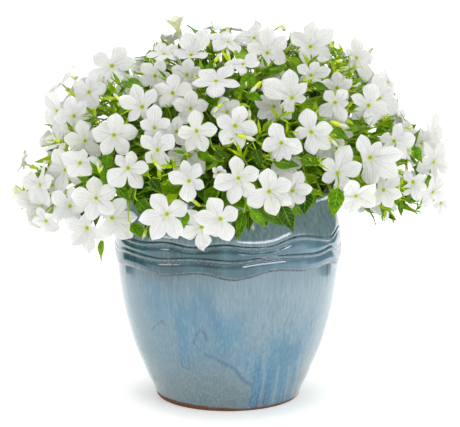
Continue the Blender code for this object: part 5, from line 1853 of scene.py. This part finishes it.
# Leaves of the front: base, tip (sheet), width in mm, shade 0 (dark) to 7 (young).
FRONT_LEAVES = [
    (244, 211, 236.5, 240, 10, 2), (249, 210, 247, 231, 10, 0), (250, 208, 265.5, 229, 10, 3), (257, 207, 285, 225.5, 12, 2),
    (282, 205, 293, 232, 15, 1), (290, 203, 301, 215, 11, 3), (306, 190, 304, 214, 16, 0), (338, 187, 333, 217, 15, 3),
    (131, 223, 145, 239, 12, 2), (137, 200, 149, 213, 12, 2), (186, 211, 183, 228, 9, 3), (118, 188, 128, 200, 10, 2), (45, 172, 30, 176, 8, 5), (108, 152, 106, 170, 10, 3),
    (104, 168, 105, 186, 8, 3), (334, 160, 332, 188, 10, 1), (338, 150, 361, 151, 9, 4), (373, 178, 374, 198, 8, 2),
    (368, 198, 368, 210, 6, 2), (400, 200, 401, 213, 6, 2), (422, 195, 423, 216, 5, 4), (430, 172, 431, 199, 8, 3),
    (406, 172, 406, 206, 9, 0), (412, 146, 424, 163, 11, 3), (285, 62, 262, 74, 14, 3), (291, 65, 301, 80, 12, 3),
    (289, 58, 300, 64, 8, 5), (256, 75, 237, 87, 14, 3), (312, 83, 330, 90, 8, 3), (128, 78, 142, 85, 8, 3),
    (238, 60, 244, 42, 12, 5), (331, 48, 336, 36, 5, 6), (272, 160, 300, 166, 14, 2), (300, 158, 320, 164, 12, 2),
    (197, 152, 214, 160, 10, 3), (330, 130, 350, 136, 12, 3), (320, 92, 341, 104, 10, 4), (246, 92, 262, 100, 10, 3),
    (205, 96, 220, 106, 9, 4), (345, 130, 362, 124, 9, 4), (394, 112, 408, 120, 9, 4), (150, 178, 162, 192, 10, 1),
    (215, 150, 228, 162, 10, 1), (300, 120, 312, 108, 8, 4), (132, 88, 120, 78, 8, 4), (255, 148, 262, 166, 10, 1),
]
# Closed buds of the front: base, tip (sheet), size.
FRONT_BUDS = [
    (282, 26, 297, 51, 1.2), (227, 29, 229, 35, 0.9), (261, 82, 243, 100, 1.2), (245, 75, 247, 98, 1.1), (283, 90, 291, 110, 1.1),
    (238, 135, 255, 140, 1.1), (330, 122, 359, 131, 1.3), (327, 135, 337, 146, 1.0), (398, 115, 409, 97, 1.1),
    (153, 160, 165, 175, 1.0), (72, 77, 84, 82, 1.1), (222, 104, 213, 113, 1.0), (200, 206, 191, 199, 1.0),
    (336, 62, 347, 59, 1.0), (363, 60, 372, 49, 1.0), (150, 60, 158, 70, 1.0), (215, 62, 222, 50, 1.0),
    (408, 128, 420, 122, 1.0), (60, 142, 50, 136, 1.0), (120, 100, 112, 92, 0.9),
]

# Young shoot tips of the front (sheet): small narrow leaves round a tip, some with calyxes.
FRONT_TIPS = [(118, 82), (128, 100), (150, 64), (165, 78), (214, 44), (228, 58), (204, 66), (290, 76), (300, 96), (312, 60),
              (326, 50), (338, 52), (345, 64), (350, 106), (362, 116), (372, 126), (330, 131), (386, 122), (396, 130),
              (406, 142), (292, 132), (306, 124), (182, 150), (92, 112), (72, 130), (54, 138), (64, 152), (47, 170),
              (40, 176), (250, 121), (262, 128), (166, 166), (160, 174), (136, 166), (240, 152), (214, 160), (270, 152),
              (322, 160), (316, 110), (352, 166), (378, 180), (400, 187), (420, 204), (428, 182), (100, 170), (352, 72), (345, 58), (336, 43), (342, 50), (349, 57), (334, 53), (341, 66), (364, 86), (340, 66), (374, 112), (386, 112), (364, 108), (397, 168),
              (400, 184), (392, 150), (112, 90), (106, 104), (100, 82), (202, 84), (210, 74), (228, 70), (218, 36), (250, 46), (296, 36),
              (140, 90), (180, 90), (212, 92), (256, 62), (272, 62), (300, 46), (352, 84), (378, 104), (86, 130),
              (118, 124), (60, 118), (236, 88), (196, 128), (226, 140), (344, 150), (366, 168), (388, 204), (88, 184),
              (146, 140), (284, 112), (336, 96), (308, 78)]


# The plant's outline on the sheet: what the looks add stays inside it as seen from the front.
OUTLINE = [(98, 264), (84, 250), (66, 244), (58, 230), (44, 233), (26, 226), (20, 208), (11, 200), (11, 186), (22, 176),
           (27, 158), (38, 150), (37, 125), (44, 116), (60, 106), (60, 92), (70, 82), (84, 70), (92, 58), (112, 48), (130, 45),
           (136, 58), (144, 50), (148, 38), (154, 38), (160, 22), (170, 16), (184, 18), (190, 28), (207, 22), (222, 27), (238, 23), (252, 21),
           (264, 25), (288, 26), (300, 20), (312, 17), (326, 22), (336, 32), (352, 33), (364, 38), (376, 48), (377, 62),
           (384, 74), (394, 78), (402, 90), (414, 98), (417, 112), (428, 120), (438, 128), (446, 145), (449, 165),
           (447, 196), (440, 212), (425, 216), (408, 214), (392, 226), (380, 226), (368, 214), (345, 218), (336, 222),
           (325, 250), (230, 262), (140, 256)]


def on_sheet(p):
    v = p - EYE
    k = (AIM - EYE).length * 1000 / v.dot(FORWARD)
    return 230 + v.dot(RIGHT) * k, 213.5 - v.dot(UPWARD) * k


def inside_outline(verts, ease=1.0):
    for v in verts:
        x, y = on_sheet(v)
        if ease != 1.0:
            x, y = 230 + (x - 230) * (1 + (ease - 1) * 0.5), 200 + (y - 200) * ease
        odd = False
        for (x0, y0), (x1, y1) in zip(OUTLINE, OUTLINE[1:] + OUTLINE[:1]):
            if (y0 > y) != (y1 > y) and x < x0 + (x1 - x0) * (y - y0) / (y1 - y0):
                odd = not odd
        if not odd:
            return False
    return True


def nearest(shoots, p):
    return sorted(shoots, key=lambda s: (s.hub - p).length)


def simple_branch(shoot, aim, axis, rng, t=None):
    """A side branch without any test, for a place that the tests left out."""
    start = shoot.at(rng.uniform(0.6, 0.95) if t is None else t)
    return branch_points(start, aim, -axis, Vector((rng.uniform(-1, 1), rng.uniform(-1, 1), rng.uniform(-0.3, 1))) * 0.008)


def grow_more(shoots, placed, space):
    rng = random.Random(77)
    flowers = []                       # (name, p, n, lobes, kind)
    centres = [p for _, p, _, _ in placed]

    def settle(x, y, nx, ny, back, R, tips, kind, most=42):
        for more in range(0, most, 3):
            p = dome_point(x, y, back + more)
            n = face_on(nx, ny)
            if kind == 2:
                n = (n + FORWARD * 2 * (-(n.dot(FORWARD)))).normalized()
            elif tips:
                n = (n + (p - DOME_CENTRE).normalized() * 0.25).normalized()
            lobes = lobes_of(p, n, tips, R / 1000, rng.uniform(0, 1.25))
            shape = lobes if kind != 1 else [(a, r * 0.7) for a, r in lobes]
            fat = corolla(p, n, shape, 0.0004)
            if space.clear("none", *fat) and above_rim([p, p - n * 0.014]):
                return p, n, lobes, fat
        return None

    def join(name, p, n, lobes, fat, kind):
        space.add(name, *fat)
        flowers.append((name, p, n, lobes, kind))
        centres.append(p)
        aim = p - n * (TUBE_LENGTH + GAP)
        for s in nearest(shoots, p)[:4]:
            if grow_branch(s, space, aim, n, name, rng):
                return
        s = nearest(shoots, p)[0]
        pts = simple_branch(s, aim - n * 0.0055, n, rng)
        s.branches.append(pts + [aim - n * 0.003, aim])
        s.kinds.append("flower")

    for x, y, nx, ny, back, R, tips, kind in MORE_FRONT:
        got = settle(x, y, nx, ny, back, R, tips, kind)
        if got:
            join("bloom_%03d" % (len(flowers) + 1), *got, kind)
        else:
            print("plant: no room for", x, y, kind)
    # the sides, the back and the crown
    tries = 0
    while tries < 1500 and len(flowers) < len(MORE_FRONT) + 62:
        tries += 1
        t = math.radians(rng.uniform(62, 298))
        e = math.asin(rng.uniform(math.sin(math.radians(-16)), math.sin(math.radians(80))))
        n0 = Vector((math.sin(t) * math.cos(e), -math.cos(t) * math.cos(e), math.sin(e)))
        depth = DOME_SIDE if n0.y < 0 else DOME_BACK
        p = DOME_CENTRE + Vector((n0.x * DOME_SIDE, n0.y * depth, n0.z * DOME_UP)) - n0 * rng.uniform(0.002, 0.020)
        if any((p - c).length < 0.033 for c in centres):
            continue
        n = (n0 + Vector((rng.gauss(0, 0.22), rng.gauss(0, 0.22), rng.gauss(0.10, 0.22)))).normalized()
        R = rng.uniform(0.019, 0.0245)
        roll = rng.uniform(0, 1.25)
        lobes = [(roll + 2 * math.pi * i / 5 + rng.gauss(0, 0.07), R * rng.uniform(0.90, 1.06)) for i in range(5)]
        fat = corolla(p, n, lobes, 0.0004)
        if inside_outline(fat[0], 1.07) and space.clear("none", *fat) and above_rim([p, p - n * 0.014]) and inside_dome(fat[0]):
            join("bloom_%03d" % (len(flowers) + 1), p, n, lobes, fat, 0)
    # a second, deeper layer seen through the gaps
    tries = 0
    start = len(flowers)
    while tries < 900 and len(flowers) < start + 8:
        tries += 1
        x, y = rng.uniform(45, 420), rng.uniform(60, 205)
        p = dome_point(x, y, rng.uniform(20, 46))
        if any((p - c).length < 0.026 for c in centres):
            continue
        n = ((p - DOME_CENTRE).normalized() + face_on(rng.uniform(-0.4, 0.4), rng.uniform(-0.2, 0.5)) * 1.2).normalized()
        R = rng.uniform(0.016, 0.021)
        roll = rng.uniform(0, 1.25)
        lobes = [(roll + 2 * math.pi * i / 5 + rng.gauss(0, 0.07), R * rng.uniform(0.90, 1.06)) for i in range(5)]
        fat = corolla(p, n, lobes, 0.0004)
        if inside_outline(fat[0], 1.05) and space.clear("none", *fat) and above_rim([p, p - n * 0.014]):
            join("bloom_%03d" % (len(flowers) + 1), p, n, lobes, fat, 0)
    # a few on the two sides, where stems would lie bare
    some = random.Random(901)
    tries = 0
    start = len(flowers)
    while tries < 1600 and len(flowers) < start + 9:
        tries += 1
        t = math.radians((-1 if some.random() < 0.75 else 1) * some.uniform(58, 125))
        e = math.radians(some.uniform(-6, 42))
        n0 = Vector((math.sin(t) * math.cos(e), -math.cos(t) * math.cos(e), math.sin(e)))
        depth = DOME_SIDE if n0.y < 0 else DOME_BACK
        p = DOME_CENTRE + Vector((n0.x * DOME_SIDE, n0.y * depth, n0.z * DOME_UP)) - n0 * some.uniform(0.006, 0.040)
        if any((p - c).length < 0.031 for c in centres):
            continue
        n = (n0 + Vector((some.gauss(0, 0.18), some.gauss(0, 0.18), some.gauss(0.08, 0.18)))).normalized()
        R = some.uniform(0.018, 0.0225)
        roll = some.uniform(0, 1.25)
        lobes = [(roll + 2 * math.pi * i / 5 + some.gauss(0, 0.07), R * some.uniform(0.90, 1.06)) for i in range(5)]
        fat = corolla(p, n, lobes, 0.0004)
        if inside_outline(fat[0], 1.07) and space.clear("none", *fat) and above_rim([p, p - n * 0.014]) and inside_dome(fat[0]):
            join("bloom_%03d" % (len(flowers) + 1), p, n, lobes, fat, 0)
    print("plant: side flowers", len(flowers) - start, "tries", tries)
    return flowers


def tidy(pts):
    """The twig, or a straighter one with the same ends where its arch would leave the plant's outline."""
    if inside_outline(catmull(pts[:5], 3)) and min(c.z for c in pts[1:4]) > min(pts[0].z, pts[4].z) - 0.003:
        return pts
    a, b = pts[0], pts[4]
    return [a.lerp(b, i / 4) for i in range(5)]


def blade_test(base, d, n, length, width):
    v, f = leaf(base + d * (length * 0.10), d, n, length * 0.92, width)
    return v, f


def high_enough(p):
    """True above the line that the foliage keeps to: the rim in front, a little lower round the sides."""
    turn = abs(math.degrees(math.atan2(p.x, -p.y)))
    low = float(np.interp(turn, [0, 46, 72, 180], [0.204, 0.204, 0.168, 0.172]))
    return p.z > low or math.hypot(p.x, p.y) < 0.088


class LeafBook:
    """Leaves of the looks, each clear of the flowers and of the other leaves."""

    def __init__(self, shoots, space):
        self.space, self.leaves, self.mine, self.light, self.young, self.full = space, [], Space(), set(), set(), set()
        for s in shoots:
            for base, d, n, length in s.leaves:
                self.put(s, base, d, n, length, length * 0.43, None)

    def put(self, shoot, base, d, n, length, width, shade, droop=0.15):
        v, f = blade_test(base, d, n, length, width)
        self.mine.add("leaf", v, f)
        self.leaves.append((shoot, base, d, n, length, width, shade, droop))

    def fits(self, shoot, base, d, n, length, width, strict=True):
        side = d.cross(n)
        if side.length < 1e-4:
            return False
        v, f = blade_test(base, d, side.normalized().cross(d).normalized(), length, width)
        if not inside_dome(v) or not above_rim([base, v[-1]]) or not inside_outline(v):
            return False
        if not self.space.clear("none", v, f, also=(shoot.name,)):
            return False
        return self.mine.clear("none", v, f) if strict else True


def grow_foliage(shoots, space):
    rng = random.Random(405)
    book = LeafBook(shoots, space)
    twigs, buds = [], []
    # the leaves that show at the front
    for bx, by, tx, ty, w, shade in FRONT_LEAVES:
        for back in range(6, 60, 4):
            base, tip = dome_point(bx, by, back + 3), dome_point(tx, ty, back)
            d = tip - base
            L = max(0.016, d.length)
            d.normalize()
            n = (-FORWARD + UPWARD * 0.35 + RIGHT * rng.uniform(-0.2, 0.2)).normalized()
            s = nearest(shoots, base)[0]
            if (n - d * n.dot(d)).length < 0.05:
                continue
            if book.fits(s, base - d * (L * 0.18), d, n, L * 1.18, w / 1000 * 1.1):
                book.full.add(len(book.leaves))
                book.put(s, base - d * (L * 0.18), d, n, L * 1.18, w / 1000 * 1.1, shade, 0.10)
                twigs.append((s, tidy(simple_branch(s, base - d * (L * 0.18), (d + Vector((0, 0, -0.4))).normalized() * 0.6, rng))))
                break
    for bx, by, tx, ty, size in FRONT_BUDS:
        for back in range(2, 50, 4):
            base, tip = dome_point(bx, by, back + 2), dome_point(tx, ty, back)
            d = (tip - base)
            L = max(0.014, d.length)
            d.normalize()
            v, f = loft([base, base + d * L], [0.002, 0.002], 5)
            if space.clear("none", v, f):
                buds.append((nearest(shoots, base)[0], base, d, L, size))
                space.add("bud", v, f)
                s = nearest(shoots, base)[0]
                twigs.append((s, tidy(simple_branch(s, base, d, rng))))
                break
    # young tips: those of the front, then a scatter over the whole crown
    places = [(x, y) for x, y in FRONT_TIPS] + [None] * 150
    tips = 0
    for place in places:
        if place is None and tips >= 125:
            break
        for go in range(14 if place else 1):
            if place:
                tip = dome_point(place[0] + rng.uniform(-2, 2), place[1] + rng.uniform(-2, 2), 3 + go * 3.2)
            else:
                t = math.radians(rng.uniform(50, 310))
                e = math.asin(rng.uniform(math.sin(math.radians(-14)), 0.99))
                out = Vector((math.sin(t) * math.cos(e), -math.cos(t) * math.cos(e), math.sin(e)))
                tip = DOME_CENTRE + Vector((out.x * DOME_SIDE, out.y * DOME_SIDE, out.z * DOME_UP)) * rng.uniform(0.86, 0.97)
            out = (tip - DOME_CENTRE).normalized()
            axis = (out + Vector((rng.gauss(0, 0.35), rng.gauss(0, 0.35), 0.45 + rng.gauss(0, 0.2)))).normalized()
            s = nearest(shoots, tip)[0]
            size = rng.uniform(0.8, 1.25)
            base = tip - axis * (0.013 * size)
            a, b = perpendicular(axis)
            first, kept = rng.uniform(0, 6), []
            before = len(book.leaves)
            count = rng.randint(6, 9)
            for k in range(count):
                share = k / count
                g = first + k * 2.4
                radial = a * math.cos(g) + b * math.sin(g)
                d = (axis * (0.30 + 1.0 * share) + radial * (1.0 - 0.55 * share)).normalized()
                n = (axis - d * axis.dot(d)).normalized()
                L = size * rng.uniform(0.011, 0.020) * (1 - 0.30 * share)
                w = L * rng.uniform(0.26, 0.38)
                p = base.lerp(tip, share)
                if high_enough(p + d * L) and book.fits(s, p, d, n, L, w, strict=False):
                    kept.append((p, d, n, L, w))
            if len(kept) < 4 or not high_enough(base):
                continue
            for p, d, n, L, w in kept:
                book.young.add(len(book.leaves))
                book.put(s, p, d, n, L, w, rng.choice((4, 5, 5, 6, 6, 7)), 0.05)
            twigs.append((s, tidy(simple_branch(s, base, axis, rng)[:4] + [tip - axis * 0.002])))
            for k in range(rng.choice((0, 1, 1, 2))):
                g = rng.uniform(0, 6.28)
                d = (axis + (a * math.cos(g) + b * math.sin(g)) * 0.7).normalized()
                v, f = loft([base.lerp(tip, 0.7), base.lerp(tip, 0.7) + d * 0.014], [0.0015, 0.0015], 5)
                if inside_outline(v) and space.clear("none", v, f) and inside_dome(v):
                    buds.append((s, base.lerp(tip, 0.7), d, 0.014, rng.uniform(0.7, 1.0)))
            tips += 1
            break
    print("plant: young tips", tips)
    # leafy twigs through the whole crown
    made = 0
    for attempt in range(700):
        if made >= 105:
            break
        t = rng.uniform(0, 2 * math.pi)
        e = math.asin(rng.uniform(math.sin(math.radians(-24)), 0.99))
        out = Vector((math.sin(t) * math.cos(e), -math.cos(t) * math.cos(e), math.sin(e)))
        deep = rng.choice((0.55, 0.70, 0.80, 0.88, 0.93, 0.96)) + rng.uniform(-0.03, 0.0)
        aim = DOME_CENTRE + Vector((out.x * DOME_SIDE, out.y * DOME_SIDE, out.z * DOME_UP)) * deep
        s = nearest(shoots, aim)[0]
        start = s.at(rng.uniform(0.35, 0.95))
        if (aim - start).length < 0.03:
            continue
        lift = Vector((0, 0, rng.uniform(0.0, 0.02)))
        pts = branch_points(start, aim, (start - aim).normalized() + Vector((0, 0, 0.3)), lift)
        if not (above_rim(pts) and high_enough(pts[-1]) and high_enough(pts[-2])):
            continue
        v, f = loft(pts, [0.0009] * 5, 4)
        if not space.clear("none", v, f, also=(s.name,)):
            continue
        got = 0
        count = rng.randint(5, 8)
        for k in range(count):
            share = 0.25 + 0.75 * (k + rng.uniform(0, 0.6)) / count
            share = min(share, 0.995)
            i = int(share * 4)
            base = pts[i].lerp(pts[i + 1], share * 4 - i)
            along = (pts[i + 1] - pts[i]).normalized()
            a, b = perpendicular(along)
            outward = (base - DOME_CENTRE).normalized()
            for go in range(7):
                g = rng.uniform(0, 2 * math.pi)
                d = (a * math.cos(g) + b * math.sin(g) + outward * 0.75 + along * 0.45 + Vector((0, 0, rng.uniform(-0.5, 0.3)))).normalized()
                n = (outward * 0.7 - d * outward.dot(d) + Vector((rng.gauss(0, 0.25), rng.gauss(0, 0.25), 0.55))).normalized()
                L = rng.uniform(0.026, 0.043) * (0.85 if share > 0.9 else 1.0)
                w = L * rng.uniform(0.36, 0.46)
                if high_enough(base + d * L) and high_enough(base) and book.fits(s, base, d, n, L, w):
                    radial = (base + d * L * 0.7 - DOME_CENTRE).length / DOME_SIDE
                    # leaves further in get darker tones (painted shade of the crown's depth), those at the outside the
                    # paler young greens
                    shade = min(7, max(0, int(rng.gauss(1.0 + 5.0 * max(0, radial - 0.45) * 1.8, 1.3))))
                    book.put(s, base, d, n, L, w, shade, rng.uniform(0.08, 0.25))
                    got += 1
                    break
        if got:
            twigs.append((s, pts))
            made += 1
            if deep > 0.88 and rng.random() < 0.5:
                d = (pts[-1] - pts[-2]).normalized()
                v, f = loft([pts[-1], pts[-1] + d * 0.014], [0.002, 0.002], 5)
                if inside_outline(v) and space.clear("none", v, f, also=(s.name,)) and inside_dome(v):
                    buds.append((s, pts[-1], d, 0.014, 0.9))
    # broad leaves in the heart of the plant, in the darkest leaf tones: painted shade for the inside of the crown
    inner = 0
    for attempt in range(2600):
        if inner >= 230:
            break
        t = rng.uniform(0, 2 * math.pi)
        e = math.asin(rng.uniform(-0.12, 0.97))
        out = Vector((math.sin(t) * math.cos(e), -math.cos(t) * math.cos(e), math.sin(e)))
        deep = rng.uniform(0.30, 0.74)
        base = DOME_CENTRE + Vector((out.x * DOME_SIDE, out.y * DOME_SIDE, out.z * DOME_UP)) * deep
        s = nearest(shoots, base)[0]
        d = (out * rng.uniform(0.1, 0.8) + Vector((rng.gauss(0, 0.6), rng.gauss(0, 0.6), rng.gauss(0, 0.35)))).normalized()
        n = (out + Vector((rng.gauss(0, 0.3), rng.gauss(0, 0.3), 0.3))).normalized()
        L = rng.uniform(0.032, 0.046)
        w = L * rng.uniform(0.40, 0.50)
        if high_enough(base) and high_enough(base + d * L) and book.fits(s, base, d, n, L, w):
            book.put(s, base, d, n, L, w, rng.choice((0, 0, 1, 1, 2)), 0.2)
            book.light.add(len(book.leaves) - 1)
            # its petiole's twig runs to the nearest point of the shoot's stem
            near = min((s.at(q / 12) for q in range(3, 13)), key=lambda c: (c - base).length)
            mid = near.lerp(base, 0.5) + Vector((0, 0, 0.1 * (near - base).length))
            twigs.append((s, [near, near.lerp(mid, 0.6), mid, mid.lerp(base, 0.6), base]))
            inner += 1
    print("plant: inner leaves", inner)
    return book, twigs, buds


SHIFTED = {"flower_43": (1, -9), "flower_42": (7, 1), "flower_32": (-7, -3)}


def flower_mesh(name, p, n, lobes, kind, seed):
    rng = random.Random(seed)
    b = Build()
    if kind == 1:
        add_corolla(b, p, n, lobes, rng, lift=0.85, squeeze=0.85)
    elif kind == 3:
        add_trumpet(b, p, n, rng)
    elif kind == 5:
        add_trumpet(b, p, n, rng, size=0.72)
    elif kind == 4:
        add_corolla(b, p, n, lobes, rng, lift=0.55, squeeze=0.9)
    elif rng.random() < 0.10:
        add_corolla(b, p, n, lobes, rng, lift=0.30)
    else:
        add_corolla(b, p, n, lobes, rng)
    o = b.make(name, FLOWER_MATS, 60.0)
    return o


def build_plant():
    shoots, placed, space = grow_plant()
    worst = 0.0
    for name, p, n, lobes in placed:
        lo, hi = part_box(name)
        worst = max(worst, ((lo + hi) / 2 - p).length)
    print("plant: flowers", len(placed), "furthest box centre from its flower %.4f" % worst)
    more = grow_more(shoots, placed, space)
    book, twigs, buds = grow_foliage(shoots, space)
    print("plant: more flowers", len(more), "leaves", len(book.leaves), "twigs", len(twigs), "buds", len(buds))

    for i, (name, p, n, lobes) in enumerate(placed):
        if name in SHIFTED:
            dx, dy = SHIFTED[name]
            step = (RIGHT * dx + UPWARD * dy) / 1000
            end = p - n * (TUBE_LENGTH + GAP)
            for s in shoots:
                for k, pts in enumerate(s.branches):
                    if (pts[-1] - end).length < 0.0005:
                        s.branches[k] = [c + step * w for c, w in zip(pts, [0, 0.15, 0.45, 0.8] + [1] * 9)]
            p = p + step
        if name == "flower_43":
            lobes = [(a, r * 0.62) for a, r in lobes]
        o = flower_mesh("petals_" + name[-2:], p, n, lobes, 0, 1000 + i)
        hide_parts(name)
    for i, (name, p, n, lobes, kind) in enumerate(more):
        flower_mesh(name, p, n, lobes, kind, 3000 + i)

    for s in shoots:
        rng = random.Random(int(s.name[-2:]) * 17)
        stems = Build()
        main = catmull([s.at(t / 6) for t in range(7)], 5)
        base = main[0].copy()
        main = [base - Vector((0, 0, 0.004))] + main
        k = len(main)
        add_tube(stems, main, [STEM_RADIUS * (1.08 - 0.42 * i / k) * (1 + 0.05 * math.sin(i * 1.9)) for i in range(k)], 9, 1, 0.05)
        for kind, pts in zip(s.kinds, s.branches):
            if kind == "flower":
                line = catmull(pts[:5], 4)
                add_tube(stems, line, [0.00125 - 0.00045 * i / len(line) for i in range(len(line))], 6, 0)
                axis = (pts[-1] - pts[-2]).normalized()
                add_calyx(stems, pts[-1] + axis * 0.0036, axis, 2, 0.0092, rng)
            elif kind == "bud":
                line = catmull(pts[:5], 4)
                add_tube(stems, line, [0.00125 - 0.00045 * i / len(line) for i in range(len(line))], 6, 0)
                axis = (pts[-1] - pts[-2]).normalized()
                add_bud(stems, pts[4] + axis * 0.005, axis, 1.0, rng, 2, 3)
            else:
                line = catmull(pts[:5], 4)
                add_tube(stems, line, [0.00125 - 0.0005 * i / len(line) for i in range(len(line))], 6, 0)
        for who, pts in twigs:
            if who is s:
                line = catmull(pts[:5], 2)
                while len(line) > 3 and not inside_outline(line[-1:]):
                    line.pop()
                add_tube(stems, line, [0.00115 - 0.00055 * i / len(line) for i in range(len(line))], 5, 0)
        for who, p, d, L, size in buds:
            if who is s:
                add_bud(stems, p + d * (0.0070 * size), d, size, rng, 2, 3)
        o = stems.make(s.name + "_stems", [MAT_STEM, MAT_WOOD, MAT_CALYX, MAT_TUBE], 40.0)
        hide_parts(s.name)
        leaves = Build()
        for rank, (who, b0, d, n, length, width, shade, droop) in enumerate(book.leaves):
            if who is s:
                if shade is None:
                    # leaves deeper in the crown get darker tones: painted shade
                    deep = 1.0 - min(1.0, max(0.0, ((b0 - DOME_CENTRE).length - 0.125) / 0.05))
                    shade = min(7, max(0, int(rng.gauss(3.4 - 3.4 * deep, 2.0 - 1.2 * deep))))
                before = len(leaves.uv)
                inside = 1 if rank in book.light or rank in book.young or (b0 - DOME_CENTRE).length < 0.135 else 0 if rank in book.full else 2
                add_leaf(leaves, b0, d, n, length, width, rng, petiole=0.0 if rank in book.young else 0.16, droop=droop, light=inside)
                for q in range(before, len(leaves.uv)):
                    if leaves.m[q] == 0:
                        leaves.uv[q] = [(u + 4.0 * shade + 0.0, v) for u, v in leaves.uv[q]]
        leaves.make(s.name + "_leaves", [MAT_LEAF, MAT_PETIOLE], 60.0)


# =====================================================================================
# 9. Floor, and the end
# =====================================================================================
def build_floor():
    me = bpy.data.meshes.new("floor")
    s = 14.0
    me.from_pydata([(-s, -s, 0), (s, -s, 0), (s, s, 0), (-s, s, 0)], [], [(0, 1, 2, 3)])
    m = Mat("floor_white", 0.9)
    n = m.noise(m.place(), 3.0, 2.0)
    m.set("Base Color", m.mix(m.smooth(n, 0.3, 0.7), (0.93, 0.93, 0.93), (0.95, 0.95, 0.95)))
    m.b.inputs["Specular IOR Level"].default_value = 0.1
    # the floor glows a little warm so that it stays white; within about 12 cm of the pot's axis it glows less: a
    # painted contact shadow round the foot
    m.b.inputs["Emission Color"].default_value = (1.0, 0.985, 0.98, 1.0)
    away = m.node('ShaderNodeVectorMath')
    away.operation = 'LENGTH'
    m.nt.links.new(m.place((1, 1, 0)), away.inputs[0])
    m.set("Emission Strength", m.math('ADD', m.math('MULTIPLY', m.smooth(away.outputs["Value"], 0.076, 0.122), 0.20), 0.295))
    me.materials.append(m.m)
    o = bpy.data.objects.new("floor", me)
    scene.collection.objects.link(o)


build_floor()
build_pot()
build_soil()
build_plant()
